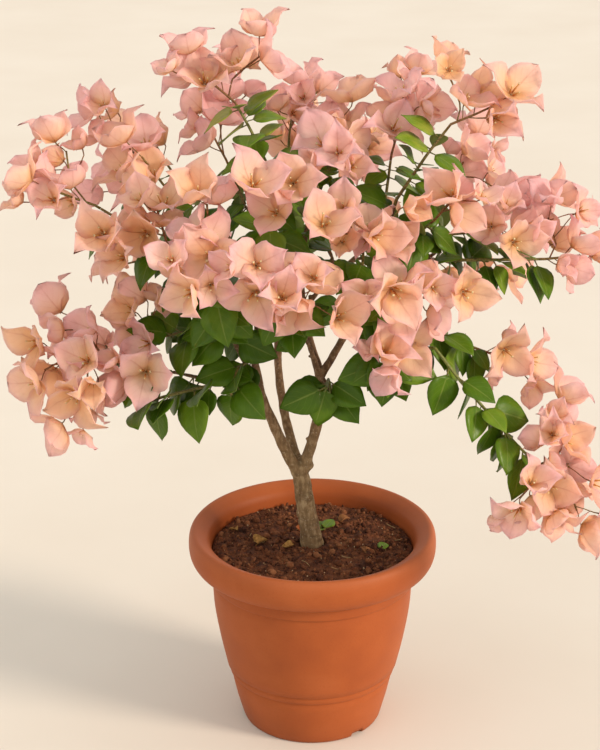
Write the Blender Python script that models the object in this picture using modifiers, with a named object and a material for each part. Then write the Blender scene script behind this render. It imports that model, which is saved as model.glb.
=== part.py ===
"""A bougainvillea bonsai in a rolled-rim terracotta pot, in metres with +Z up.

The origin is the centre of the pot's underside, and -Y is the side that the plant faces.
Driving sizes are in millimetres and are turned to metres by MM.
"""
import math
import random
from itertools import product

import bmesh
import bpy
import numpy as np
from mathutils import Matrix, Vector
from mathutils.bvhtree import BVHTree

MM = 0.001
GAP = 0.3 * MM
MERGE = 0.00005
FLAT_ANGLE = math.radians(1)
PLANT = "bougainvillea_bonsai"

# Pot
POT_STEPS = 24
POT_FLOOR = 10.0
POT_FLOOR_RADIUS = 76.0
POT_LIP = [(127, 232), (129, 242), (135, 250), (143, 248), (149, 239)]
POT_OUTER = [(150, 226), (146, 210), (136, 204), (125, 203), (124, 187), (122, 185), (120.5, 150), (104, 70),
             (101, 59), (93, 30), (85, 0)]
POT_INNER = [(104, 100), (117, 190), (124, 226)]
FOOT_NOTCH_SIZE = (70.0, 18.0, 6.0)
FOOT_NOTCH_FROM_CENTRE = 75.0
FOOT_NOTCH_ANGLES = (-50.0, 70.0, 190.0)
DRAIN_RADIUS = 6.0
DRAIN_SIDES = 8
DRAIN_FROM_CENTRE = 45.0

# Soil
SOIL_TOP = 229.0
SOIL_RINGS = (121.5, 100, 70, 40)
SOIL_EDGE_DROP = 6.0
SOIL_CRUMB = 3.0
SOIL_EDGE_CRUMB = 1.2
SOIL_MOUND = 2.0
SOIL_MOUND_REACH = 140.0
SOIL_SEED = 11
STEM_HOLE_RADIUS = 16.1
STEM_HOLE_FLOOR = 192.0
STEM_HOLE_SIDES = 12

# Wood: the trunk, then each limb's start and end radius, sides, and the points along its centreline
TRUNK_LINE = [(0, 0, 192.4), (0, 0, 229), (-4, 0, 254), (-9, 0, 287), (-13, 0, 314), (-17, 0, 334)]
TRUNK_RADII = (14.8, 14.4, 12.6, 11.4, 10.8, 9.6)
TRUNK_SIDES = 8
TRUNK_SPACING = 30.0
LIMBS = {
    "left": (7.6, 2.5, 6, [(-15, 0, 318), (-30, -5, 350), (-45, -12, 388), (-60, -22, 430), (-68, -30, 482),
                           (-88, -36, 525), (-112, -40, 562), (-145, -36, 598)]),
    "left_up": (4.6, 2.3, 5, [(-67, -28, 474), (-64, -26, 520), (-60, -15, 580), (-56, -4, 640),
                              (-52, 0, 695)]),
    "side_left": (3.8, 2.2, 5, [(-58, -21, 426), (-85, -42, 448), (-120, -60, 466), (-160, -76, 482)]),
    "middle": (6.6, 2.4, 6, [(-15, 2, 324), (-26, 20, 357), (-35, 40, 390), (-42, 68, 440), (-40, 98, 500),
                             (-36, 120, 560), (-30, 135, 620)]),
    "right": (7.6, 2.5, 6, [(-14, 0, 320), (0, -2, 366), (10, -9, 420), (8, -10, 455), (-6, -2, 500),
                            (-14, 10, 560), (-8, 16, 620), (8, 20, 668)]),
    "right_up": (5.2, 2.4, 5, [(8, -10, 448), (22, -20, 478), (38, -30, 512), (60, -40, 562), (78, -46, 620),
                               (90, -46, 668)]),
    "arch": (4.2, 2.2, 5, [(10, -9, 424), (45, -38, 466), (88, -80, 510), (128, -116, 526)]),
    "front_left": (3.8, 2.2, 5, [(-63, -25, 446), (-84, -62, 500), (-100, -98, 556)]),
    "front_mid": (3.8, 2.2, 5, [(8, -11, 452), (-2, -46, 496), (-14, -84, 536), (-22, -112, 562)]),
    "front_right": (3.6, 2.2, 5, [(36, -29, 508), (54, -66, 540), (70, -104, 566)]),
    "right_stem": (3.4, 2.2, 5, [(66, -42, 580), (92, -50, 598), (128, -52, 606), (160, -50, 606)]),
    "back_left": (3.8, 2.2, 5, [(-41, 90, 486), (-76, 126, 540), (-112, 148, 586), (-146, 162, 618)]),
    "back_right": (3.8, 2.2, 5, [(-42, 76, 456), (8, 112, 516), (66, 132, 564), (116, 146, 600)]),
}

# Sprays: limb, place along it, wooden tip (none where the limb's own end is the tip), end of the leafy stem,
# number of leaves, and its bloom clusters as x, y, z and number of blooms
SPRAYS = {
    "crown_left": ("left_up", 1.0, None, (-84, 8, 766), 6,
                   [(-134, 14, 812, 5), (-60, 28, 820, 4)]),
    "crown_back": ("middle", 1.0, None, (-28, 118, 702), 3,
                   [(-22, 84, 760, 3), (4, 184, 736, 2)]),
    "left_tip": ("left", 1.0, None, (-238, -30, 660), 5,
                 [(-304, -34, 688, 4), (-278, 2, 718, 2)]),
    "left_high": ("left", 0.86, (-128, 8, 606), (-166, 26, 664), 3,
                  [(-194, 14, 708, 4), (-240, 48, 738, 2)]),
    "left_mid": ("left", 0.80, (-130, -60, 592), (-158, -66, 626), 3,
                 [(-178, -50, 680, 3), (-204, -86, 638, 3)]),
    "left_low": ("side_left", 1.0, None, (-226, -88, 498), 4,
                 [(-274, -42, 536, 3), (-300, -102, 494, 4), (-250, -128, 488, 3), (-278, -82, 434, 2)]),
    "left_under": ("left", 0.62, (-124, -58, 526), (-164, -66, 522), 4,
                   [(-202, -104, 492, 3), (-188, -46, 540, 2)]),
    "front_left": ("front_left", 1.0, None, (-110, -132, 612), 4,
                   [(-114, -130, 694, 4), (-124, -184, 636, 3)]),
    "front_mid": ("front_mid", 1.0, None, (-32, -150, 592), 4,
                  [(-58, -198, 634, 4), (-4, -198, 606, 4)]),
    "centre": ("left_up", 0.45, (-50, -46, 626), (-48, -82, 660), 3,
               [(-46, -118, 704, 5)]),
    "centre_back": ("left_up", 0.55, (-78, 22, 650), (-98, 56, 688), 2,
                    [(-120, 82, 724, 3), (-96, 146, 762, 3)]),
    "top": ("right", 1.0, None, (20, 8, 700), 2,
            [(32, 42, 744, 4), (22, -54, 722, 3)]),
    "front_top": ("right_up", 0.62, (56, -76, 596), (54, -98, 628), 2,
                  [(78, -124, 666, 4), (20, -142, 668, 1)]),
    "top_right": ("right_up", 1.0, None, (148, -18, 748), 5,
                  [(200, 0, 770, 5), (152, 2, 800, 1)]),
    "crown_right": ("right_up", 0.74, (80, -6, 640), (88, 20, 702), 2,
                    [(100, 26, 752, 4), (118, 112, 768, 3)]),
    "right_high": ("right_up", 0.80, (108, -70, 642), (128, -80, 658), 3,
                   [(152, -100, 692, 5)]),
    "right_tip": ("right_stem", 1.0, None, (254, -40, 604), 5,
                  [(302, -34, 606, 3), (266, 6, 644, 3)]),
    "right_mid": ("right_stem", 0.62, (146, -20, 622), (184, -8, 626), 2,
                  [(220, 12, 648, 3), (214, -66, 636, 2)]),
    "front_right": ("front_right", 1.0, None, (88, -138, 588), 4,
                    [(76, -182, 610, 4), (132, -146, 594, 3)]),
    "front_low": ("arch", 0.62, (82, -100, 506), (80, -126, 518), 2,
                  [(82, -164, 536, 3)]),
    "arch": ("arch", 1.0, None, (244, -142, 402), 10,
             [(286, -138, 392, 4), (228, -170, 368, 3), (296, -146, 342, 3), (276, -112, 446, 2)]),
    "arch_mid": ("arch", 0.84, (128, -86, 534), (184, -82, 512), 2,
                 [(220, -78, 498, 2)]),
    "back_left": ("back_left", 1.0, None, (-172, 178, 648), 2,
                  [(-200, 200, 688, 3), (-236, 130, 636, 2)]),
    "back_mid": ("back_right", 0.45, (14, 150, 570), (4, 206, 640), 2,
                 [(-20, 250, 680, 3), (60, 232, 656, 2)]),
    "back_right": ("back_right", 1.0, None, (162, 170, 630), 2,
                   [(196, 196, 668, 3), (246, 132, 620, 2)]),
    "back_low_left": ("back_left", 0.45, (-110, 168, 536), (-160, 196, 540), 3,
                      [(-232, 140, 540, 2), (-130, 246, 530, 2)]),
    "back_low_right": ("back_right", 0.55, (70, 174, 536), (120, 206, 536), 3,
                       [(70, 258, 540, 2), (228, 150, 520, 2)]),
}

# Leafy shoots without bloom: limb, place along it, wooden tip, end of the shoot and number of leaves
SHOOTS = {
    "under_left": ("side_left", 0.50, (-114, -84, 470), (-196, -120, 458), 6),
    "under_middle": ("left", 0.52, (-72, -62, 492), (-92, -116, 470), 6),
    "under_centre": ("right", 0.36, (20, -46, 446), (14, -110, 474), 6),
}

# Stems: radii from foot to tip, and the spacing of the points along each line
TWIG_RADII = (2.6, 2.4)
STEM_RADII = (2.3, 2.0)
AXIS_RADII = (1.9, 1.5)
FORK_RADII = (1.2, 1.4)
STEM_SIDES = 4
LIMB_SPACING = 32.0
STEM_SPACING = 30.0
AXIS_SPACING = 20.0
JOINT_LEAD = 7.0

# How far towards its tip a twig or a forked axis bends, and how far it first follows its parent
TWIG_BEND = (0.35, 0.2)
FORK_BEND = (0.3, 0.15)
FIRST_FORK = 0.10
NEXT_FORK = 0.14

CANOPY_CENTRE = Vector((0, 20, 560)) * MM
GOLDEN_ANGLE = math.radians(137.5)

# Blooms: three bracts joined at their feet, as one sheet on a slim pedicel, in shares of a bract's length
BLOOM_KINDS = ((36.0, True), (46.0, True), (55.0, False), (61.0, False))
BRACT_THICKNESS = 0.02
BRACT_SHOULDER = (0.54, 0.40)
BRACT_SHOULDER_LIFT = 0.10
BRACT_TIP_RISE = 0.86
BRACT_NOTCH = 0.27
BRACT_NOTCH_OUT = 0.04
BRACT_NOTCH_RISE = 0.7
PEDICEL_RADIUS = 0.024
PEDICEL_NECK = 0.02
PEDICEL_LENGTH = 0.5
PEDICEL_TAPER = 0.5

# Where blooms go: bract and pedicel lengths, and the sizes and turns tried until one is clear of the rest
BRACT_LENGTH = (39.0, 46.0)
PEDICELS = (16.0, 23.0, 30.0, 10.0)
BLOOM_SIZES = (1.0, 0.88, 0.78)
BLOOM_TURNS = (0, 35, -35, 70, -70, 110, -110, 150, -150)
BLOOMS_FROM = 0.35
BLOOMS_OVER = 0.6
BLOOM_FORWARD = 0.45
END_LEAN = 0.35
END_LEAN_TURNED = 0.8
END_SETBACK = 1.5
BLOOM_OUTWARD = 0.5
PEDICEL_RISE = Vector((0, 0, 0.2))
BLOOM_LOOK = Vector((0, -0.15, 0.1))
CLEARANCE = 0.6 * MM

# Leaves: ovate blades with a drip tip, in shares of a leaf's length, and each kind's droop and fold
LEAF_OUTLINE = ((0.0, 0.0), (0.16, 0.03), (0.42, 0.35), (0.72, 0.24), (1.0, 0.0))
LEAF_KINDS = ((0.16, 0.25), (0.3, 0.15))
LEAF_THICKNESS = 0.014
LEAF_FOOT = 0.1

# Where leaves go: lengths, and the sizes, drops and turns tried until one is clear of the rest
LEAF_LENGTH = (48.0, 60.0)
LEAF_SIZES = (1.0, 0.84, 0.7)
LEAF_HANG = (0.3, 0.9)
LEAF_DROPS = (0.0, -0.5, 1.4)
LEAF_TURNS = (0, 30, -30, 60, -60, 95, -95, 130, -130, 180)
LEAVES_FROM = 0.06
LEAVES_OVER = 0.9
LEAF_FORWARD = 0.3
LEAF_OUTWARD = 0.25
LEAF_SETOUT = 0.2
LEAF_FACE_OUTWARD = 0.75
LEAF_FACE = Vector((0, -0.2, 0.75))

TERRACOTTA = (0.56, 0.20, 0.08, 1)
SOIL_BROWN = (0.06, 0.03, 0.02, 1)
BARK = (0.20, 0.14, 0.09, 1)
LEAF_GREEN = (0.06, 0.14, 0.02, 1)
BRACT_PINK = (0.80, 0.36, 0.28, 1)


def clear_scene():
    for obj in list(bpy.data.objects):
        bpy.data.objects.remove(obj)


def new_collection(name):
    collection = bpy.data.collections.new(name)
    bpy.context.scene.collection.children.link(collection)
    return collection


def material(name, colour, roughness):
    made = bpy.data.materials.new(name)
    made.use_nodes = True
    shader = made.node_tree.nodes["Principled BSDF"]
    shader.inputs["Base Color"].default_value = colour
    shader.inputs["Roughness"].default_value = roughness
    shader.inputs["Metallic"].default_value = 0.0
    return made


def new_object(name, mesh, collection, look=None):
    obj = bpy.data.objects.new(name, mesh)
    collection.objects.link(obj)
    if look:
        mesh.materials.clear()
        mesh.materials.append(look)
    return obj


def mesh_from(bm, name):
    mesh = bpy.data.meshes.new(name)
    bm.to_mesh(mesh)
    bm.free()
    return mesh


def evaluated_mesh(obj):
    return bpy.data.meshes.new_from_object(obj.evaluated_get(bpy.context.evaluated_depsgraph_get()))


def apply_modifiers(obj):
    mesh = evaluated_mesh(obj)
    obj.modifiers.clear()
    obj.data = mesh


def weld(mesh):
    bm = bmesh.new()
    bm.from_mesh(mesh)
    bmesh.ops.remove_doubles(bm, verts=bm.verts, dist=MERGE)
    bm.to_mesh(mesh)
    bm.free()


def merge_flat_scraps(mesh):
    """Merges the slivers that a union leaves inside a flat face."""
    bm = bmesh.new()
    bm.from_mesh(mesh)
    bmesh.ops.dissolve_limit(bm, angle_limit=FLAT_ANGLE, verts=bm.verts, edges=bm.edges)
    bmesh.ops.triangulate(bm, faces=bm.faces)
    bm.to_mesh(mesh)
    bm.free()


def fuse(body, pieces):
    """Joins pieces to body with one union on a collection, and removes them."""
    if pieces:
        group = new_collection("pieces_of_" + body.name)
        for piece in pieces:
            for owner in list(piece.users_collection):
                owner.objects.unlink(piece)
            group.objects.link(piece)
        union = body.modifiers.new("Union", "BOOLEAN")
        union.operation = "UNION"
        union.operand_type = "COLLECTION"
        union.collection = group
        apply_modifiers(body)
        for piece in pieces:
            bpy.data.objects.remove(piece)
        bpy.data.collections.remove(group)
        merge_flat_scraps(body.data)


def cut(body, cutter):
    cutter.hide_render = True
    cutter.display_type = "WIRE"
    modifier = body.modifiers.new("Cut", "BOOLEAN")
    modifier.operation = "DIFFERENCE"
    modifier.object = cutter


def turned(name, profile, steps, collection, look):
    """Turns a profile of (radius, height) points in millimetres round the Z axis."""
    bm = bmesh.new()
    points = [bm.verts.new((radius * MM, 0, height * MM)) for radius, height in profile]
    for start, end in zip(points, points[1:]):
        bm.edges.new((start, end))
    obj = new_object(name, mesh_from(bm, name), collection, look)
    screw = obj.modifiers.new("Screw", "SCREW")
    screw.steps = steps
    screw.render_steps = steps
    screw.use_merge_vertices = True
    screw.merge_threshold = MERGE
    return obj


def smooth_path(points, spacing):
    """Samples a Catmull-Rom curve through points, and returns one list of samples for each span."""
    knots = [Vector(point) for point in points]
    knots = [2 * knots[0] - knots[1]] + knots + [2 * knots[-1] - knots[-2]]
    spans = []
    for before, start, end, after in zip(knots, knots[1:], knots[2:], knots[3:]):
        count = max(1, round((end - start).length / spacing))
        span = []
        for index in range(count + 1):
            t = index / count
            span.append(0.5 * (2 * start + (end - before) * t
                               + (2 * before - 5 * start + 4 * end - after) * t ** 2
                               + (3 * start - 3 * end + after - before) * t ** 3))
        spans.append(span)
    return spans


def joined(spans):
    path = list(spans[0])
    for span in spans[1:]:
        path += span[1:]
    return path


def tube(name, path, radii, sides, collection):
    """Makes a round stem along path, in metres, whose radius runs through radii."""
    data = bpy.data.curves.new(name, "CURVE")
    data.dimensions = "3D"
    data.bevel_depth = 1.0
    data.bevel_mode = "ROUND"
    data.bevel_resolution = max(0, (sides - 4) // 2)
    data.use_fill_caps = True
    spline = data.splines.new("POLY")
    spline.points.add(len(path) - 1)
    for index, (point, spot) in enumerate(zip(path, spline.points)):
        place = index / (len(path) - 1) * (len(radii) - 1)
        low = min(int(place), len(radii) - 2)
        spot.co = (*point, 1)
        spot.radius = radii[low] + (radii[low + 1] - radii[low]) * (place - low)
    curve = bpy.data.objects.new("line_of_" + name, data)
    collection.objects.link(curve)
    mesh = evaluated_mesh(curve)
    weld(mesh)
    obj = new_object(name, mesh, collection)
    obj.matrix_world = curve.matrix_world
    bpy.data.objects.remove(curve)
    return obj


def scaled(values):
    return tuple(value * MM for value in values)


def along(path, fraction):
    """Returns the point and direction at a fraction of a path's length."""
    lengths = [(b - a).length for a, b in zip(path, path[1:])]
    left = fraction * sum(lengths)
    for (a, b), length in zip(zip(path, path[1:]), lengths):
        if left <= length or b is path[-1]:
            return a.lerp(b, min(1.0, left / length)), (b - a).normalized()
        left -= length


class Crowd:
    """Remembers the pieces in place, and tells whether a new one would touch them."""

    def __init__(self):
        self.pieces = []

    def add(self, owner, points, faces):
        tree = BVHTree.FromPolygons([tuple(p) for p in points], faces)
        self.pieces.append((owner, points.min(axis=0), points.max(axis=0), tree))

    def touches(self, points, faces, skip=None):
        low, high = points.min(axis=0), points.max(axis=0)
        tree = None
        for owner, other_low, other_high, other in self.pieces:
            if owner == skip or (low > other_high).any() or (high < other_low).any():
                continue
            tree = tree or BVHTree.FromPolygons([tuple(p) for p in points], faces)
            if tree.overlap(other):
                return True
        return False

    def hits_one(self, points, faces, which):
        tree = BVHTree.FromPolygons([tuple(p) for p in points], faces)
        return any(tree.overlap(other) for owner, _, _, other in self.pieces if owner == which)


def object_arrays(obj):
    points = np.array([tuple(obj.matrix_world @ v.co) for v in obj.data.vertices])
    return points, [tuple(p.vertices) for p in obj.data.polygons]


class Shape:
    """A small mesh of unit size, which is copied and put in place many times."""

    def __init__(self, bm, name, root_height=None):
        bmesh.ops.triangulate(bm, faces=bm.faces)
        bmesh.ops.recalc_face_normals(bm, faces=bm.faces)
        bm.normal_update()
        self.points = np.array([tuple(v.co) for v in bm.verts])
        self.normals = np.array([tuple(v.normal) for v in bm.verts])
        self.faces = [tuple(v.index for v in f.verts) for f in bm.faces]
        self.root = np.zeros(len(self.points), bool)
        if root_height is not None:
            self.root = self.points[:, 2] < root_height
        self.mesh = mesh_from(bm, name)

    def free_faces(self, foot):
        return [face for face in self.faces if not any(foot[i] for i in face)]

    def placed(self, head, size, root=None, swell=0.0):
        turn = np.array(head.to_3x3())
        points = self.points * size + self.normals * swell
        placed = points @ turn.T + np.array(head.translation)
        if root is not None:
            turn = np.array(root.to_3x3())
            foot = points[self.root]
            foot = foot - [0, 0, self.points[self.root][:, 2].mean() * size]
            placed[self.root] = foot @ turn.T + np.array(root.translation)
        return placed

    def copy(self, name, points, collection):
        mesh = self.mesh.copy()
        mesh.vertices.foreach_set("co", points.astype(np.float32).ravel())
        mesh.update()
        return new_object(name, mesh, collection)


def bloom_shape(cup, notched):
    """Makes one bloom with bracts of unit length, facing +Z, with its pedicel's root below."""
    points = 4 if notched else 3
    bm = bmesh.new()
    bmesh.ops.create_circle(bm, segments=3 * points, radius=1, cap_ends=True, cap_tris=True)
    rise = math.radians(cup)
    shoulder, half = BRACT_SHOULDER
    side = math.atan2(half, shoulder * math.cos(rise))
    rim = sorted((v for v in bm.verts if v.co.length > 0.5), key=lambda v: math.atan2(v.co.y, v.co.x))
    for place, vertex in enumerate(rim):
        bract, step = divmod(place, points)
        middle = math.tau / 3 * bract
        if step == 1:
            turn = 0.0
            reach = math.cos(rise * BRACT_TIP_RISE)
            height = math.sin(rise * BRACT_TIP_RISE)
        elif step == 3:
            turn = math.pi / 3
            reach = BRACT_NOTCH * math.cos(rise) + BRACT_NOTCH_OUT
            height = BRACT_NOTCH * math.sin(rise) * BRACT_NOTCH_RISE
        else:
            turn = side * (step - 1)
            reach = math.hypot(shoulder * math.cos(rise), half)
            height = shoulder * math.sin(rise) + BRACT_SHOULDER_LIFT
        vertex.co = (reach * math.cos(middle + turn), reach * math.sin(middle + turn), height)
    bmesh.ops.recalc_face_normals(bm, faces=bm.faces)
    if sum(face.normal.z for face in bm.faces) < 0:
        bmesh.ops.reverse_faces(bm, faces=bm.faces)
    bmesh.ops.solidify(bm, geom=bm.faces[:], thickness=BRACT_THICKNESS)
    under = min((v for v in bm.verts if v.co.xy.length < 0.01), key=lambda v: v.co.z)
    rim_edges = [e for f in under.link_faces for e in f.edges if under not in e.verts]
    neck_height = under.co.z - PEDICEL_NECK
    bmesh.ops.delete(bm, geom=[under], context="VERTS")
    neck = bmesh.ops.create_circle(bm, segments=3, radius=PEDICEL_RADIUS)["verts"]
    bmesh.ops.translate(bm, verts=neck, vec=(0, 0, neck_height))
    neck_edges = list({e for v in neck for e in v.link_edges})
    bmesh.ops.bridge_loops(bm, edges=rim_edges + neck_edges)
    stem = bmesh.ops.extrude_edge_only(bm, edges=neck_edges)["geom"]
    foot = [item for item in stem if isinstance(item, bmesh.types.BMVert)]
    bmesh.ops.translate(bm, verts=foot, vec=(0, 0, -PEDICEL_LENGTH))
    bmesh.ops.scale(bm, verts=foot, vec=(PEDICEL_TAPER, PEDICEL_TAPER, 1))
    bmesh.ops.contextual_create(bm, geom=foot)
    return Shape(bm, "bloom", neck_height - PEDICEL_LENGTH / 2)


def leaf_shape(droop, fold):
    """Makes one ovate blade of unit length along +X, with its upper face towards +Z."""
    bm = bmesh.new()
    right = [(row, -1) for row in LEAF_OUTLINE[:-1]]
    left = [(row, 1) for row in LEAF_OUTLINE[:0:-1]]
    sides = right + left
    rim = bmesh.ops.create_circle(bm, segments=len(sides), radius=1, cap_ends=True)["verts"]
    rim.sort(key=lambda v: math.atan2(v.co.y, v.co.x))
    for vertex, ((place, half), side) in zip(rim, sides):
        vertex.co = (place, side * half, half * fold - droop * place ** 2)
    bmesh.ops.connect_verts(bm, verts=[rim[1], rim[-1]])
    bmesh.ops.connect_verts(bm, verts=[rim[1], rim[len(right)]])
    bmesh.ops.triangulate(bm, faces=bm.faces)
    bm.normal_update()
    if sum(face.normal.z for face in bm.faces) < 0:
        bmesh.ops.reverse_faces(bm, faces=bm.faces)
    bmesh.ops.solidify(bm, geom=bm.faces[:], thickness=LEAF_THICKNESS)
    return Shape(bm, "leaf")


def facing(direction, up, spin=0.0):
    """Returns a matrix whose Z is direction, turned by spin about it."""
    z = direction.normalized()
    x = up.cross(z)
    if x.length < 0.01:
        x = Vector((1, 0, 0)).cross(z)
    x.normalize()
    frame = Matrix((x, z.cross(x), z)).transposed()
    return (frame @ Matrix.Rotation(spin, 3, "Z")).to_4x4()


def lying(direction, upper):
    """Returns a matrix whose X is direction, and whose Z is as near as it can be to upper."""
    x = direction.normalized()
    z = upper - upper.dot(x) * x
    z.normalize()
    return Matrix((x, z.cross(x), z)).transposed().to_4x4()


def around(tangent, angle):
    side = tangent.cross(Vector((0, 0, 1)))
    if side.length < 0.1:
        side = Vector((1, 0, 0))
    side.normalize()
    return math.cos(angle) * side + math.sin(angle) * side.cross(tangent).normalized()


def outward(point):
    return (point - CANOPY_CENTRE).normalized()


def build_pot(collection, cutters, look):
    profile = [(0, POT_FLOOR), (POT_FLOOR_RADIUS, POT_FLOOR)] + POT_INNER + POT_LIP + POT_OUTER + [(0, 0)]
    pot = turned("pot", profile, POT_STEPS, collection, look)
    length, width, height = scaled(FOOT_NOTCH_SIZE)
    for index, angle in enumerate(FOOT_NOTCH_ANGLES):
        turn = Matrix.Rotation(math.radians(angle), 4, "Z")
        bm = bmesh.new()
        bmesh.ops.create_cube(bm, size=1)
        bmesh.ops.scale(bm, verts=bm.verts, vec=(length, width, 2 * height))
        bmesh.ops.translate(bm, verts=bm.verts, vec=(FOOT_NOTCH_FROM_CENTRE * MM, 0, 0))
        bmesh.ops.transform(bm, verts=bm.verts, matrix=turn)
        cut(pot, new_object(f"foot_notch_{index}", mesh_from(bm, "foot_notch"), cutters))
        bm = bmesh.new()
        bmesh.ops.create_cone(bm, cap_ends=True, segments=DRAIN_SIDES, radius1=DRAIN_RADIUS * MM,
                              radius2=DRAIN_RADIUS * MM, depth=3 * POT_FLOOR * MM)
        bmesh.ops.translate(bm, verts=bm.verts, vec=(DRAIN_FROM_CENTRE * MM, 0, POT_FLOOR * MM / 2))
        bmesh.ops.transform(bm, verts=bm.verts, matrix=turn)
        cut(pot, new_object(f"drain_{index}", mesh_from(bm, "drain"), cutters))
    return pot


def build_soil(collection, cutters, look):
    """Fills the pot 0.3 mm clear of its walls, with a crumbly top."""
    draw = random.Random(SOIL_SEED)
    gap = GAP / MM
    floor = [(0, POT_FLOOR + gap), (POT_FLOOR_RADIUS - gap, POT_FLOOR + gap)]
    walls = [(radius - gap, height) for radius, height in POT_INNER[:-1]]
    edge = [(SOIL_RINGS[0], SOIL_TOP - SOIL_EDGE_DROP)]
    top = [(radius, SOIL_TOP) for radius in SOIL_RINGS] + [(0, SOIL_TOP)]
    soil = turned("soil", floor + walls + edge + top, POT_STEPS, collection, look)
    apply_modifiers(soil)
    for vertex in soil.data.vertices:
        radius = vertex.co.xy.length / MM
        if vertex.co.z > (SOIL_TOP - 1) * MM:
            swell = SOIL_CRUMB if radius < SOIL_RINGS[1] + 1 else SOIL_EDGE_CRUMB
            mound = SOIL_MOUND * math.cos(math.pi * radius / SOIL_MOUND_REACH)
            vertex.co.z += (draw.uniform(-swell, swell) + mound) * MM
    depth = 2 * (SOIL_TOP - STEM_HOLE_FLOOR) * MM
    bm = bmesh.new()
    bmesh.ops.create_cone(bm, cap_ends=True, segments=STEM_HOLE_SIDES, radius1=STEM_HOLE_RADIUS * MM,
                          radius2=STEM_HOLE_RADIUS * MM, depth=depth)
    bmesh.ops.translate(bm, verts=bm.verts, vec=(0, 0, STEM_HOLE_FLOOR * MM + depth / 2))
    cut(soil, new_object("stem_hole", mesh_from(bm, "stem_hole"), cutters))
    return soil


def limb_paths():
    return {name: joined(smooth_path([Vector(p) * MM for p in points], LIMB_SPACING * MM))
            for name, (_, _, _, points) in LIMBS.items()}


def shoot_parts(limb_path, place, tip, base, beyond):
    """Splits one smooth line, from a limb through its wooden tip, into wood and leafy stem."""
    base = Vector(base) * MM
    end = Vector(beyond) * MM if beyond else 2 * base - limb_path[-1]
    if tip is None:
        spans = smooth_path([limb_path[-2], limb_path[-1], base, end], STEM_SPACING * MM)
        return None, grown_from(spans[1], limb_path)
    start, direction = along(limb_path, place)
    tip = Vector(tip) * MM
    bend = start.lerp(tip, TWIG_BEND[0]) + direction * TWIG_BEND[1] * (tip - start).length
    spans = smooth_path([start, bend, tip, base, end], STEM_SPACING * MM)
    twig = joined(spans[:2])
    return twig, grown_from(spans[2], twig)


def grown_from(path, parent):
    """Starts a path 0.3 mm beyond its parent's end, and leads it straight on for a few millimetres."""
    way = (parent[-1] - parent[-2]).normalized()
    rest = path[2:] if len(path) > 3 else path[1:]
    return [parent[-1] + way * GAP, parent[-1] + way * JOINT_LEAD * MM] + list(rest)


def build_stems(crowd, collection):
    """Makes the wood, the leafy stems and the bloom axes, and returns them by name."""
    paths = limb_paths()
    trunk_path = joined(smooth_path([Vector(p) * MM for p in TRUNK_LINE], TRUNK_SPACING * MM))
    trunk = tube("trunk_and_branches", trunk_path, scaled(TRUNK_RADII), TRUNK_SIDES, collection)
    wood = [tube(name, paths[name], scaled((start, end)), sides, collection)
            for name, (start, end, sides, _) in LIMBS.items()]
    stems = {}
    axes = {}
    rows = [(name, row[:4], row[5]) for name, row in SPRAYS.items()]
    rows += [(name, row[:4], None) for name, row in SHOOTS.items()]
    for name, (limb, place, tip, base), clusters in rows:
        beyond = clusters[0][:3] if clusters else None
        twig, leafy = shoot_parts(paths[limb], place, tip, base, beyond)
        if twig:
            wood.append(tube("twig_" + name, twig, scaled(TWIG_RADII), STEM_SIDES, collection))
        stems[name] = (leafy, tube("leafy_" + name, leafy, scaled(STEM_RADII), STEM_SIDES, collection))
        if clusters:
            axes[name] = bloom_axes(name, leafy, clusters, collection)
    for obj in [trunk] + wood:
        crowd.add("wood", *object_arrays(obj))
    for name, (_, obj) in stems.items():
        crowd.add("leafy_" + name, *object_arrays(obj))
    for name, lines in axes.items():
        for index, (_, obj, _) in enumerate(lines):
            crowd.add(f"blooms_{name}_{index}", *object_arrays(obj))
    return trunk, wood, stems, axes


def bloom_axes(name, leafy, clusters, collection):
    """Makes the axes of one spray: the first goes on from the leafy stem, and the others fork from it."""
    lines = []
    first = None
    for index, (x, y, z, blooms) in enumerate(clusters):
        centre = Vector((x, y, z)) * MM
        if first is None:
            spans = smooth_path([leafy[-2], leafy[-1], centre], AXIS_SPACING * MM)
            path = grown_from(spans[1], leafy)
            radii = scaled(AXIS_RADII)
            first = path
        else:
            start, direction = along(first, FIRST_FORK + NEXT_FORK * index)
            bend = start.lerp(centre, FORK_BEND[0]) + direction * FORK_BEND[1] * (centre - start).length
            path = joined(smooth_path([start, bend, centre], AXIS_SPACING * MM))
            radii = scaled(FORK_RADII)
        lines.append((path, tube(f"blooms_{name}_{index}", path, radii, STEM_SIDES, collection), blooms))
    return lines


def place_blooms(crowd, axes, shapes, collection):
    """Sets the blooms round each axis by the golden angle, clear of all that is in place."""
    placed = {name: [] for name in axes}
    for name, lines in axes.items():
        draw = random.Random(name)
        for index, (path, _, blooms) in enumerate(lines):
            owner = f"blooms_{name}_{index}"
            for number in range(blooms):
                last = number == blooms - 1
                fraction = 1.0 if last else BLOOMS_FROM + BLOOMS_OVER * number / blooms
                angle = draw.uniform(0, math.tau) if number == 0 else angle + GOLDEN_ANGLE
                length = draw.uniform(*BRACT_LENGTH)
                spot = (path, fraction, angle, last, length, draw.choice(shapes), draw.random())
                bloom = fit_bloom(crowd, owner, spot)
                if bloom:
                    shape, points = bloom
                    crowd.add(owner + "_bloom", points, shape.faces)
                    placed[name].append(shape.copy(f"{owner}_{number}", points, collection))
    return placed


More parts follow.
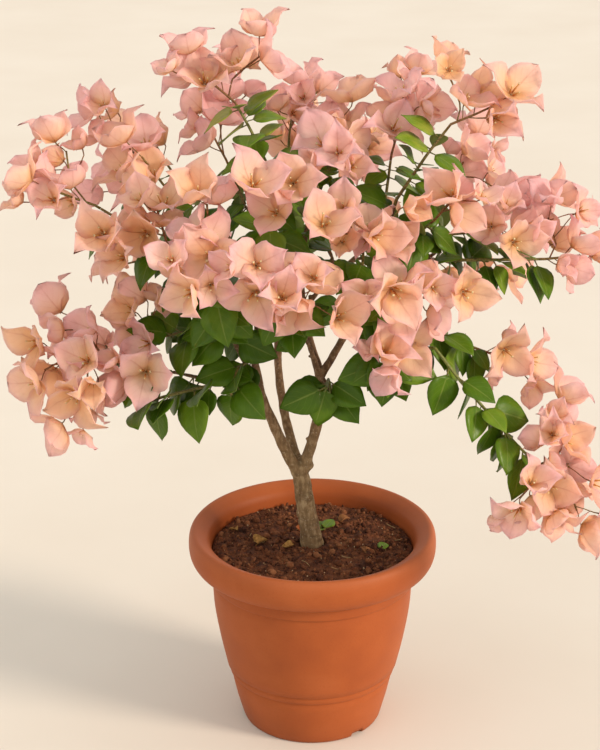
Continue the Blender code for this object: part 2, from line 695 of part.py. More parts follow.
def fit_bloom(crowd, owner, spot):
    """Tries a bloom in a row of sizes, reaches and turns, and returns the first that is clear."""
    path, fraction, angle, last, length, shape, roll = spot
    base, tangent = along(path, fraction)
    if last:
        base = base - tangent * END_SETBACK * MM
    out = outward(base)
    for share, reach, turn in product(BLOOM_SIZES, PEDICELS, BLOOM_TURNS):
        size = length * share * MM
        side = around(tangent, angle + math.radians(turn))
        if last:
            way = side * (END_LEAN_TURNED if turn else END_LEAN) + tangent
        else:
            way = side + tangent * BLOOM_FORWARD
        way = (way + out * BLOOM_OUTWARD + PEDICEL_RISE).normalized()
        look = (way + out * BLOOM_OUTWARD + BLOOM_LOOK).normalized()
        head = facing(look, Vector((0, 0, 1)), roll * math.tau)
        head.translation = base + way * reach * MM
        root = look.rotation_difference(way).to_matrix().to_4x4() @ head
        root.translation = base
        guard = shape.placed(head, size, root, CLEARANCE)
        if crowd.touches(guard, shape.faces, owner):
            continue
        if crowd.hits_one(guard, shape.free_faces(shape.root), owner):
            continue
        return shape, shape.placed(head, size, root)
    return None


def place_leaves(crowd, stems, shapes, collection):
    """Sets the leaves alternately along each leafy stem, where they clear all that is in place."""
    counts = {name: row[4] for name, row in list(SPRAYS.items()) + list(SHOOTS.items())}
    placed = {name: [] for name in stems}
    for name, (path, _) in stems.items():
        draw = random.Random("leaf " + name)
        owner = "leafy_" + name
        angle = draw.uniform(0, math.tau)
        for number in range(counts[name]):
            fraction = LEAVES_FROM + LEAVES_OVER * (number + 0.5) / counts[name]
            angle += GOLDEN_ANGLE
            length = draw.uniform(*LEAF_LENGTH)
            spot = (path, fraction, angle, length, draw.choice(shapes), draw.uniform(*LEAF_HANG))
            leaf = fit_leaf(crowd, owner, spot)
            if leaf:
                shape, points = leaf
                crowd.add(owner + "_leaf", points, shape.faces)
                placed[name].append(shape.copy(f"{owner}_{number}", points, collection))
    return placed


def fit_leaf(crowd, owner, spot):
    """Tries a leaf in a row of sizes, drops and turns, and returns the first that is clear."""
    path, fraction, angle, length, shape, hang = spot
    base, tangent = along(path, fraction)
    out = outward(base)
    foot = shape.points[:, 0] < LEAF_FOOT
    for share, drop, turn in product(LEAF_SIZES, (hang,) + LEAF_DROPS, LEAF_TURNS):
        size = length * share * MM
        side = around(tangent, angle + math.radians(turn))
        way = (side + tangent * LEAF_FORWARD + out * LEAF_OUTWARD - Vector((0, 0, drop))).normalized()
        frame = lying(way, out * LEAF_FACE_OUTWARD + LEAF_FACE)
        frame.translation = base + way * LEAF_SETOUT * MM
        guard = shape.placed(frame, size, None, CLEARANCE)
        if crowd.touches(guard, shape.faces, owner):
            continue
        if crowd.hits_one(guard, shape.free_faces(foot), owner):
            continue
        return shape, shape.placed(frame, size)
    return None


def main():
    clear_scene()
    parts = new_collection(PLANT)
    cutters = new_collection("cutters")
    looks = {
        "terracotta": material("terracotta", TERRACOTTA, 0.65),
        "soil": material("soil", SOIL_BROWN, 0.95),
        "bark": material("bark", BARK, 0.85),
        "leaf": material("leaf", LEAF_GREEN, 0.45),
        "bract": material("bract", BRACT_PINK, 0.6),
    }
    build_pot(parts, cutters, looks["terracotta"])
    build_soil(parts, cutters, looks["soil"])
    crowd = Crowd()
    trunk, wood, stems, axes = build_stems(crowd, parts)
    blooms = place_blooms(crowd, axes, [bloom_shape(*kind) for kind in BLOOM_KINDS], parts)
    leaves = place_leaves(crowd, stems, [leaf_shape(*kind) for kind in LEAF_KINDS], parts)
    fuse(trunk, wood)
    trunk.data.materials.append(looks["bark"])
    for name, (_, stem) in stems.items():
        fuse(stem, leaves[name])
        stem.data.materials.append(looks["leaf"])
    for name, lines in axes.items():
        body = lines[0][1]
        body.name = "blooms_" + name
        fuse(body, [line[1] for line in lines[1:]] + blooms[name])
        body.data.materials.append(looks["bract"])


main()
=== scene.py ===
"""Potted bougainvillea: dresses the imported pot, soil, wood, leafy sprays and bloom sprays.

Every stem, leaf and bloom of the solids is laid out again by the same rules and seeds, and gets a finer shape
in its place. Sizes are in millimetres and are turned to metres by MM. -Y is the side that the plant faces.
"""

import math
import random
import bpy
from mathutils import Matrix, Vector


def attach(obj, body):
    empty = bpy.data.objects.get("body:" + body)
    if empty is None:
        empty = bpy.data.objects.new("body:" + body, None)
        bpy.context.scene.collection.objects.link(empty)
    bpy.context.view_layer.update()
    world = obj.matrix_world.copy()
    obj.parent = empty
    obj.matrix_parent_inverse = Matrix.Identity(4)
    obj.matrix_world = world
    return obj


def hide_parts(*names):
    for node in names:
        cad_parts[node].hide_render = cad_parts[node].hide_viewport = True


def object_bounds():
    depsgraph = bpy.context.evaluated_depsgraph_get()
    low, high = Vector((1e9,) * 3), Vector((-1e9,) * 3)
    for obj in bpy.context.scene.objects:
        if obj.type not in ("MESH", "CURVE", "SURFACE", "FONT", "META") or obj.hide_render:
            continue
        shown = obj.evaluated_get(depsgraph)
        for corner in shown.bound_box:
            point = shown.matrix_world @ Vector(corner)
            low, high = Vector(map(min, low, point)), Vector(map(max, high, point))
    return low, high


bl_info = {
    "name": "Potted Bougainvillea",
    "version": (1, 0, 0),
    "blender": (4, 5, 0),
    "location": "View3D > Sidebar > Bougainvillea",
    "description": "Builds a flowering bougainvillea in a rolled-lip clay pot",
    "category": "Object",
}

from itertools import product

import bmesh
import bpy
import numpy as np
from bpy.props import FloatProperty, FloatVectorProperty, IntProperty, PointerProperty
from mathutils import Euler, Matrix, Vector, noise
from mathutils.bvhtree import BVHTree

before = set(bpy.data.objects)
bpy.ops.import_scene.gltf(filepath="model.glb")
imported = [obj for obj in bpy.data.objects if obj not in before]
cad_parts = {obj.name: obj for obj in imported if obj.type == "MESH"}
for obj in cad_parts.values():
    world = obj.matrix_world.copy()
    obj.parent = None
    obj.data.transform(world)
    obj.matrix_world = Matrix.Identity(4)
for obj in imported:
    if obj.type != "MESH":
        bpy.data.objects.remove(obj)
cad_box = [list(corner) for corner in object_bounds()]

MM = 0.001
UP = Vector((0, 0, 1))
GAP = 0.3 * MM
MERGE = 0.00005

# Pot
POT_FLOOR = 10.0
FOOT_NOTCH_SIZE = (70.0, 18.0, 6.0)
FOOT_NOTCH_FROM_CENTRE = 75.0
FOOT_NOTCH_ANGLES = (-50.0, 70.0, 190.0)
DRAIN_RADIUS = 6.0
DRAIN_FROM_CENTRE = 45.0

# Soil
SOIL_TOP = 229.0
SOIL_MOUND = 2.0
SOIL_MOUND_REACH = 140.0

# Wood: the trunk, then each limb's start and end radius, sides, and the points along its centreline
TRUNK_LINE = [(0, 0, 192.4), (0, 0, 229), (-4, 0, 254), (-9, 0, 287), (-13, 0, 314), (-17, 0, 334)]
TRUNK_RADII = (14.8, 14.4, 12.6, 11.4, 10.8, 9.6)
TRUNK_SIDES = 8
TRUNK_SPACING = 30.0
LIMBS = {
    "left": (7.6, 2.5, 6, [(-15, 0, 318), (-30, -5, 350), (-45, -12, 388), (-60, -22, 430), (-68, -30, 482),
         (-88, -36, 525), (-112, -40, 562), (-145, -36, 598)]),
    "left_up": (4.6, 2.3, 5, [(-67, -28, 474), (-64, -26, 520), (-60, -15, 580), (-56, -4, 640),
         (-52, 0, 695)]),
    "side_left": (3.8, 2.2, 5, [(-58, -21, 426), (-85, -42, 448), (-120, -60, 466), (-160, -76, 482)]),
    "middle": (6.6, 2.4, 6, [(-15, 2, 324), (-26, 20, 357), (-35, 40, 390), (-42, 68, 440), (-40, 98, 500),
         (-36, 120, 560), (-30, 135, 620)]),
    "right": (7.6, 2.5, 6, [(-14, 0, 320), (0, -2, 366), (10, -9, 420), (8, -10, 455), (-6, -2, 500),
         (-14, 10, 560), (-8, 16, 620), (8, 20, 668)]),
    "right_up": (5.2, 2.4, 5, [(8, -10, 448), (22, -20, 478), (38, -30, 512), (60, -40, 562), (78, -46, 620),
         (90, -46, 668)]),
    "arch": (4.2, 2.2, 5, [(10, -9, 424), (45, -38, 466), (88, -80, 510), (128, -116, 526)]),
    "front_left": (3.8, 2.2, 5, [(-63, -25, 446), (-84, -62, 500), (-100, -98, 556)]),
    "front_mid": (3.8, 2.2, 5, [(8, -11, 452), (-2, -46, 496), (-14, -84, 536), (-22, -112, 562)]),
    "front_right": (3.6, 2.2, 5, [(36, -29, 508), (54, -66, 540), (70, -104, 566)]),
    "right_stem": (3.4, 2.2, 5, [(66, -42, 580), (92, -50, 598), (128, -52, 606), (160, -50, 606)]),
    "back_left": (3.8, 2.2, 5, [(-41, 90, 486), (-76, 126, 540), (-112, 148, 586), (-146, 162, 618)]),
    "back_right": (3.8, 2.2, 5, [(-42, 76, 456), (8, 112, 516), (66, 132, 564), (116, 146, 600)]),
}

# Sprays: limb, place along it, wooden tip (none where the limb's own end is the tip), end of the leafy stem,
# number of leaves, and its bloom clusters as x, y, z and number of blooms, which three shoots don't have
SPRAYS = {
    "crown_left": ("left_up", 1.0, None, (-84, 8, 766), 6, [(-134, 14, 812, 5), (-60, 28, 820, 4)]),
    "crown_back": ("middle", 1.0, None, (-28, 118, 702), 3, [(-22, 84, 760, 3), (4, 184, 736, 2)]),
    "left_tip": ("left", 1.0, None, (-238, -30, 660), 5, [(-304, -34, 688, 4), (-278, 2, 718, 2)]),
    "left_high": ("left", 0.86, (-128, 8, 606), (-166, 26, 664), 3,
        [(-194, 14, 708, 4), (-240, 48, 738, 2)]),
    "left_mid": ("left", 0.80, (-130, -60, 592), (-158, -66, 626), 3,
        [(-178, -50, 680, 3), (-204, -86, 638, 3)]),
    "left_low": ("side_left", 1.0, None, (-226, -88, 498), 4,
        [(-274, -42, 536, 3), (-300, -102, 494, 4), (-250, -128, 488, 3), (-278, -82, 434, 2)]),
    "left_under": ("left", 0.62, (-124, -58, 526), (-164, -66, 522), 4,
        [(-202, -104, 492, 3), (-188, -46, 540, 2)]),
    "front_left": ("front_left", 1.0, None, (-110, -132, 612), 4,
        [(-114, -130, 694, 4), (-124, -184, 636, 3)]),
    "front_mid": ("front_mid", 1.0, None, (-32, -150, 592), 4, [(-58, -198, 634, 4), (-4, -198, 606, 4)]),
    "centre": ("left_up", 0.45, (-50, -46, 626), (-48, -82, 660), 3, [(-46, -118, 704, 5)]),
    "centre_back": ("left_up", 0.55, (-78, 22, 650), (-98, 56, 688), 2,
        [(-120, 82, 724, 3), (-96, 146, 762, 3)]),
    "top": ("right", 1.0, None, (20, 8, 700), 2, [(32, 42, 744, 4), (22, -54, 722, 3)]),
    "front_top": ("right_up", 0.62, (56, -76, 596), (54, -98, 628), 2,
        [(78, -124, 666, 4), (20, -142, 668, 1)]),
    "top_right": ("right_up", 1.0, None, (148, -18, 748), 5, [(200, 0, 770, 5), (152, 2, 800, 1)]),
    "crown_right": ("right_up", 0.74, (80, -6, 640), (88, 20, 702), 2,
        [(100, 26, 752, 4), (118, 112, 768, 3)]),
    "right_high": ("right_up", 0.80, (108, -70, 642), (128, -80, 658), 3, [(152, -100, 692, 5)]),
    "right_tip": ("right_stem", 1.0, None, (254, -40, 604), 5, [(302, -34, 606, 3), (266, 6, 644, 3)]),
    "right_mid": ("right_stem", 0.62, (146, -20, 622), (184, -8, 626), 2,
        [(220, 12, 648, 3), (214, -66, 636, 2)]),
    "front_right": ("front_right", 1.0, None, (88, -138, 588), 4,
        [(76, -182, 610, 4), (132, -146, 594, 3)]),
    "front_low": ("arch", 0.62, (82, -100, 506), (80, -126, 518), 2, [(82, -164, 536, 3)]),
    "arch": ("arch", 1.0, None, (244, -142, 402), 10,
        [(286, -138, 392, 4), (228, -170, 368, 3), (296, -146, 342, 3), (276, -112, 446, 2)]),
    "arch_mid": ("arch", 0.84, (128, -86, 534), (184, -82, 512), 2, [(220, -78, 498, 2)]),
    "back_left": ("back_left", 1.0, None, (-172, 178, 648), 2, [(-200, 200, 688, 3), (-236, 130, 636, 2)]),
    "back_mid": ("back_right", 0.45, (14, 150, 570), (4, 206, 640), 2,
        [(-20, 250, 680, 3), (60, 232, 656, 2)]),
    "back_right": ("back_right", 1.0, None, (162, 170, 630), 2, [(196, 196, 668, 3), (246, 132, 620, 2)]),
    "back_low_left": ("back_left", 0.45, (-110, 168, 536), (-160, 196, 540), 3,
        [(-232, 140, 540, 2), (-130, 246, 530, 2)]),
    "back_low_right": ("back_right", 0.55, (70, 174, 536), (120, 206, 536), 3,
        [(70, 258, 540, 2), (228, 150, 520, 2)]),
    "under_left": ("side_left", 0.50, (-114, -84, 470), (-196, -120, 458), 6, []),
    "under_middle": ("left", 0.52, (-72, -62, 492), (-92, -116, 470), 6, []),
    "under_centre": ("right", 0.36, (20, -46, 446), (14, -110, 474), 6, []),
}

# Stems: radii from foot to tip, and the spacing of the points along each line
TWIG_RADII = (2.6, 2.4)
STEM_RADII = (2.3, 2.0)
AXIS_RADII = (1.9, 1.5)
FORK_RADII = (1.2, 1.4)
STEM_SIDES = 4
LIMB_SPACING = 32.0
STEM_SPACING = 30.0
AXIS_SPACING = 20.0
JOINT_LEAD = 7.0

# How far towards its tip a twig or a forked axis bends, and how far it first follows its parent
TWIG_BEND = (0.35, 0.2)
FORK_BEND = (0.3, 0.15)
FIRST_FORK = 0.10
NEXT_FORK = 0.14

CANOPY_CENTRE = Vector((0, 20, 560)) * MM
GOLDEN_ANGLE = math.radians(137.5)

# Blooms: three bracts joined at their feet, as one sheet on a slim pedicel, in shares of a bract's length
BLOOM_KINDS = ((36.0, True), (46.0, True), (55.0, False), (61.0, False))
BRACT_THICKNESS = 0.02
BRACT_SHOULDER = (0.54, 0.40)
BRACT_SHOULDER_LIFT = 0.10
BRACT_TIP_RISE = 0.86
BRACT_NOTCH = 0.27
BRACT_NOTCH_OUT = 0.04
BRACT_NOTCH_RISE = 0.7
PEDICEL_RADIUS = 0.024
PEDICEL_NECK = 0.02
PEDICEL_LENGTH = 0.5
PEDICEL_TAPER = 0.5

# Where blooms go: bract and pedicel lengths, and the sizes and turns tried until one is clear of the rest
BRACT_LENGTH = (39.0, 46.0)
PEDICELS = (16.0, 23.0, 30.0, 10.0)
BLOOM_SIZES = (1.0, 0.88, 0.78)
BLOOM_TURNS = (0, 35, -35, 70, -70, 110, -110, 150, -150)
BLOOMS_FROM = 0.35
BLOOMS_OVER = 0.6
BLOOM_FORWARD = 0.45
END_LEAN = 0.35
END_LEAN_TURNED = 0.8
END_SETBACK = 1.5
BLOOM_OUTWARD = 0.5
PEDICEL_RISE = Vector((0, 0, 0.2))
BLOOM_LOOK = Vector((0, -0.15, 0.1))
CLEARANCE = 0.6 * MM

# Leaves: ovate blades with a drip tip, in shares of a leaf's length, and each kind's droop and fold
LEAF_OUTLINE = ((0.0, 0.0), (0.16, 0.03), (0.42, 0.35), (0.72, 0.24), (1.0, 0.0))
LEAF_KINDS = ((0.16, 0.25), (0.3, 0.15))
LEAF_THICKNESS = 0.014
LEAF_FOOT = 0.1

# Where leaves go: lengths, and the sizes, drops and turns tried until one is clear of the rest
LEAF_LENGTH = (48.0, 60.0)
LEAF_SIZES = (1.0, 0.84, 0.7)
LEAF_HANG = (0.3, 0.9)
LEAF_DROPS = (0.0, -0.5, 1.4)
LEAF_TURNS = (0, 30, -30, 60, -60, 95, -95, 130, -130, 180)
LEAVES_FROM = 0.06
LEAVES_OVER = 0.9
LEAF_FORWARD = 0.3
LEAF_OUTWARD = 0.25
LEAF_SETOUT = 0.2
LEAF_FACE_OUTWARD = 0.75
LEAF_FACE = Vector((0, -0.2, 0.75))

# Smaller blooms and leaves that close up the clusters
FILL_TRIES = 30
FILL_BLOOMS = 0.8
FILL_LEAVES = 6
FILL_INNER = 7.0
FILL_BRACT_LENGTH = (26.0, 38.0)
FILL_REACH = (12.0, 40.0)
FILL_LEAF_LENGTH = (28.0, 52.0)
INNER_LEAF_LENGTH = (34.0, 58.0)
FILL_ALLOWANCE = 0.86
BOX_SLACK = 8.0 * MM
FILL_RISE = Vector((0, -0.25, 0.2))
FILL_LOOK = Vector((0, -0.3, 0.1))
FILL_BLOOM_PLACE = (0.15, 1.0)
FILL_BLOOM_FORWARD = (0.1, 0.9)
FILL_BLOOM_OUTWARD = 0.6
FILL_LEAF_PLACE = (0.05, 0.98)
FILL_LEAF_HANG = (0.0, 1.3)
FILL_LEAF_FRONT = 0.2
FILL_LEAF_OUTWARD = 0.3
FILL_LEAF_SETOUT = 1.0
FILL_LEAF_FACE = Vector((0, -0.25, 0.75))


def smooth_path(points, spacing):
    """Samples a Catmull-Rom curve through points, and returns one list of samples for each span."""
    knots = [Vector(point) for point in points]
    knots = [2 * knots[0] - knots[1]] + knots + [2 * knots[-1] - knots[-2]]
    spans = []
    for before, start, end, after in zip(knots, knots[1:], knots[2:], knots[3:]):
        count = max(1, round((end - start).length / spacing))
        span = []
        for t in (index / count for index in range(count + 1)):
            span.append(0.5 * (2 * start + (end - before) * t
                               + (2 * before - 5 * start + 4 * end - after) * t ** 2
                               + (3 * start - 3 * end + after - before) * t ** 3))
        spans.append(span)
    return spans


def joined(spans):
    return spans[0] + [point for span in spans[1:] for point in span[1:]]


def scaled(values):
    return tuple(value * MM for value in values)


def path_length(path):
    return sum((b - a).length for a, b in zip(path, path[1:]))


def along(path, fraction):
    """Returns the point and direction at a fraction of a path's length."""
    left = fraction * path_length(path)
    for a, b in zip(path, path[1:]):
        length = (b - a).length
        if left <= length or b is path[-1]:
            return a.lerp(b, min(1.0, left / length)), (b - a).normalized()
        left -= length


def tree_of(points, faces):
    return BVHTree.FromPolygons([tuple(point) for point in points], faces)


class Crowd:
    """Remembers the pieces in place, and tells whether a new one would touch them."""

    def __init__(self):
        self.pieces = []

    def add(self, owner, points, faces):
        self.pieces.append((owner, points.min(axis=0), points.max(axis=0), tree_of(points, faces)))

    def touches(self, points, faces, skip):
        low, high = points.min(axis=0), points.max(axis=0)
        tree = None
        for owner, other_low, other_high, other in self.pieces:
            if owner == skip or (low > other_high).any() or (high < other_low).any():
                continue
            tree = tree or tree_of(points, faces)
            if tree.overlap(other):
                return True
        return False

    def hits_one(self, points, faces, which):
        tree = tree_of(points, faces)
        return any(tree.overlap(other) for owner, _, _, other in self.pieces if owner == which)


class Shape:
    """A small solid of unit size, which is copied and put in place many times."""

    def __init__(self, bm, root_height=-math.inf):
        bmesh.ops.triangulate(bm, faces=bm.faces)
        bmesh.ops.recalc_face_normals(bm, faces=bm.faces)
        bm.normal_update()
        self.points = np.array([tuple(v.co) for v in bm.verts])
        self.normals = np.array([tuple(v.normal) for v in bm.verts])
        self.faces = [tuple(v.index for v in f.verts) for f in bm.faces]
        self.root = self.points[:, 2] < root_height
        bm.free()

    def free_faces(self, foot):
        return [face for face in self.faces if not any(foot[i] for i in face)]

    def placed(self, head, size, root=None, swell=0.0):
        """Its points with the head in place, and with the pedicel's root, if it has one, in its own place."""
        points = self.points * size + self.normals * swell
        placed = points @ np.array(head.to_3x3()).T + np.array(head.translation)
        if root is not None:
            foot = points[self.root] - [0, 0, self.points[self.root][:, 2].mean() * size]
            placed[self.root] = foot @ np.array(root.to_3x3()).T + np.array(root.translation)
        return placed


def thickened(bm, thickness):
    """Turns a flat sheet's front towards +Z and gives it thickness."""
    if sum(face.normal.z for face in bm.faces) < 0:
        bmesh.ops.reverse_faces(bm, faces=bm.faces)
    bmesh.ops.solidify(bm, geom=bm.faces[:], thickness=thickness)


def bloom_shape(cup, notched):
    """Makes one bloom with bracts of unit length, facing +Z, with its pedicel's root below."""
    points = 4 if notched else 3
    bm = bmesh.new()
    bmesh.ops.create_circle(bm, segments=3 * points, radius=1, cap_ends=True, cap_tris=True)
    rise = math.radians(cup)
    shoulder, half = BRACT_SHOULDER
    flat, steep = math.cos(rise), math.sin(rise)
    side = math.atan2(half, shoulder * flat)
    # Turn, reach and height of a bract's right shoulder, tip, left shoulder and, if it has one, notch
    spots = [(-side, math.hypot(shoulder * flat, half), shoulder * steep + BRACT_SHOULDER_LIFT),
             (0.0, math.cos(rise * BRACT_TIP_RISE), math.sin(rise * BRACT_TIP_RISE)),
             (side, math.hypot(shoulder * flat, half), shoulder * steep + BRACT_SHOULDER_LIFT),
             (math.pi / 3, BRACT_NOTCH * flat + BRACT_NOTCH_OUT, BRACT_NOTCH * steep * BRACT_NOTCH_RISE)]
    rim = sorted((v for v in bm.verts if v.co.length > 0.5), key=lambda v: math.atan2(v.co.y, v.co.x))
    for place, vertex in enumerate(rim):
        bract, step = divmod(place, points)
        turn, reach, height = spots[step]
        turn += math.tau / 3 * bract
        vertex.co = (reach * math.cos(turn), reach * math.sin(turn), height)
    bmesh.ops.recalc_face_normals(bm, faces=bm.faces)
    thickened(bm, BRACT_THICKNESS)
    under = min((v for v in bm.verts if v.co.xy.length < 0.01), key=lambda v: v.co.z)
    rim_edges = [e for f in under.link_faces for e in f.edges if under not in e.verts]
    neck_height = under.co.z - PEDICEL_NECK
    bmesh.ops.delete(bm, geom=[under], context="VERTS")
    neck = bmesh.ops.create_circle(bm, segments=3, radius=PEDICEL_RADIUS)["verts"]
    bmesh.ops.translate(bm, verts=neck, vec=(0, 0, neck_height))
    neck_edges = list({e for v in neck for e in v.link_edges})
    bmesh.ops.bridge_loops(bm, edges=rim_edges + neck_edges)
    foot, _ = raised(bm, neck_edges, -PEDICEL_LENGTH)
    bmesh.ops.scale(bm, verts=foot, vec=(PEDICEL_TAPER, PEDICEL_TAPER, 1))
    bmesh.ops.contextual_create(bm, geom=foot)
    return Shape(bm, neck_height - PEDICEL_LENGTH / 2)


def leaf_shape(droop, fold):
    """Makes one ovate blade of unit length along +X, with its upper face towards +Z."""
    bm = bmesh.new()
    right = [(row, -1) for row in LEAF_OUTLINE[:-1]]
    sides = right + [(row, 1) for row in LEAF_OUTLINE[:0:-1]]
    rim = bmesh.ops.create_circle(bm, segments=len(sides), radius=1, cap_ends=True)["verts"]
    rim.sort(key=lambda v: math.atan2(v.co.y, v.co.x))
    for vertex, ((place, half), side) in zip(rim, sides):
        vertex.co = (place, side * half, half * fold - droop * place ** 2)
    for end in (rim[-1], rim[len(right)]):
        bmesh.ops.connect_verts(bm, verts=[rim[1], end])
    bmesh.ops.triangulate(bm, faces=bm.faces)
    bm.normal_update()
    thickened(bm, LEAF_THICKNESS)
    return Shape(bm)


def facing(direction, spin):
    """Returns a matrix whose Z is direction, turned by spin about it."""
    z = direction.normalized()
    x = UP.cross(z)
    if x.length < 0.01:
        x = Vector((1, 0, 0)).cross(z)
    x.normalize()
    return (Matrix((x, z.cross(x), z)).transposed() @ Matrix.Rotation(spin, 3, "Z")).to_4x4()


def lying(direction, upper):
    """Returns a matrix whose X is direction, and whose Z is as near as it can be to upper."""
    x = direction.normalized()
    z = (upper - upper.dot(x) * x).normalized()
    return Matrix((x, z.cross(x), z)).transposed().to_4x4()


def around(tangent, angle):
    """Returns a direction across a stem, at an angle round it."""
    side = tangent.cross(UP)
    if side.length < 0.1:
        side = Vector((1, 0, 0))
    side.normalize()
    return math.cos(angle) * side + math.sin(angle) * side.cross(tangent).normalized()


def outward(point):
    return (point - CANOPY_CENTRE).normalized()


def grown_from(path, parent):
    """Starts a path 0.3 mm beyond its parent's end, and leads it straight on for a few millimetres."""
    way = (parent[-1] - parent[-2]).normalized()
    rest = path[2:] if len(path) > 3 else path[1:]
    return [parent[-1] + way * GAP, parent[-1] + way * JOINT_LEAD * MM] + rest


def bent_line(start, direction, bends, through, spacing):
    """Leads a line off a stem: it first follows the stem a little, and then goes through the points given."""
    share, lead = bends
    bend = start.lerp(through[0], share) + direction * lead * (through[0] - start).length
    return smooth_path([start, bend, *through], spacing * MM)


def shoot_parts(limb_path, place, tip, base, beyond):
    """Splits one smooth line, from a limb through its wooden tip, into wood and leafy stem."""
    base = Vector(base) * MM
    end = Vector(beyond) * MM if beyond else 2 * base - limb_path[-1]
    if tip is None:
        spans = smooth_path([limb_path[-2], limb_path[-1], base, end], STEM_SPACING * MM)
        return None, grown_from(spans[1], limb_path)
    spans = bent_line(*along(limb_path, place), TWIG_BEND, [Vector(tip) * MM, base, end], STEM_SPACING)
    twig = joined(spans[:2])
    return twig, grown_from(spans[2], twig)


def bloom_places(base, way, look, spin, reach):
    """Returns the place of a bloom's head, which faces look, and of its pedicel's root."""
    head = facing(look, spin)
    head.translation = base + way * reach * MM
    root = look.rotation_difference(way).to_matrix().to_4x4() @ head
    root.translation = base
    return head, root


def leaf_place(base, way, upper, setout):
    place = lying(way, upper)
    place.translation = base + way * setout * MM
    return place


def fit_bloom(crowd, owner, spot):
    """Tries a bloom in a row of sizes, reaches and turns, and returns the first that is clear."""
    path, fraction, angle, last, length, shape, roll = spot
    base, tangent = along(path, fraction)
    if last:
        base = base - tangent * END_SETBACK * MM
    out = outward(base)
    for share, reach, turn in product(BLOOM_SIZES, PEDICELS, BLOOM_TURNS):
        side = around(tangent, angle + math.radians(turn))
        if last:
            way = side * (END_LEAN_TURNED if turn else END_LEAN) + tangent
        else:
            way = side + tangent * BLOOM_FORWARD
        way = (way + out * BLOOM_OUTWARD + PEDICEL_RISE).normalized()
        look = (way + out * BLOOM_OUTWARD + BLOOM_LOOK).normalized()
        size = length * share * MM
        head, root = bloom_places(base, way, look, roll * math.tau, reach)
        guard = shape.placed(head, size, root, CLEARANCE)
        if not crowd.touches(guard, shape.faces, owner) \
                and not crowd.hits_one(guard, shape.free_faces(shape.root), owner):
            return shape, head, size, root
    return None


def fit_leaf(crowd, owner, spot):
    """Tries a leaf in a row of sizes, drops and turns, and returns the first that is clear."""
    path, fraction, angle, length, shape, hang = spot
    base, tangent = along(path, fraction)
    out = outward(base)
    free = shape.free_faces(shape.points[:, 0] < LEAF_FOOT)
    for share, drop, turn in product(LEAF_SIZES, (hang,) + LEAF_DROPS, LEAF_TURNS):
        side = around(tangent, angle + math.radians(turn))
        way = (side + tangent * LEAF_FORWARD + out * LEAF_OUTWARD - Vector((0, 0, drop))).normalized()
        place = leaf_place(base, way, out * LEAF_FACE_OUTWARD + LEAF_FACE, LEAF_SETOUT)
        size = length * share * MM
        guard = shape.placed(place, size, None, CLEARANCE)
        if not crowd.touches(guard, shape.faces, owner) and not crowd.hits_one(guard, free, owner):
            return shape, place, size
    return None


def tube_arrays(path, radii, sides):
    """Points and faces of a round stem along path, in metres, whose radius runs through radii."""
    data = bpy.data.curves.new("line", "CURVE")
    data.dimensions = "3D"
    data.bevel_depth = 1.0
    data.bevel_mode = "ROUND"
    data.bevel_resolution = max(0, (sides - 4) // 2)
    data.use_fill_caps = True
    spline = data.splines.new("POLY")
    spline.points.add(len(path) - 1)
    for index, (point, spot) in enumerate(zip(path, spline.points)):
        place = index / (len(path) - 1) * (len(radii) - 1)
        low = min(int(place), len(radii) - 2)
        spot.co = (*point, 1)
        spot.radius = radii[low] + (radii[low + 1] - radii[low]) * (place - low)
    curve = in_scene("line", data)
    mesh = evaluated_mesh(curve)
    bpy.data.objects.remove(curve)
    bm = bmesh.new()
    bm.from_mesh(mesh)
    bmesh.ops.remove_doubles(bm, verts=bm.verts, dist=MERGE)
    points = np.array([tuple(v.co) for v in bm.verts])
    faces = [tuple(v.index for v in f.verts) for f in bm.faces]
    bm.free()
    bpy.data.meshes.remove(mesh)
    return points, faces


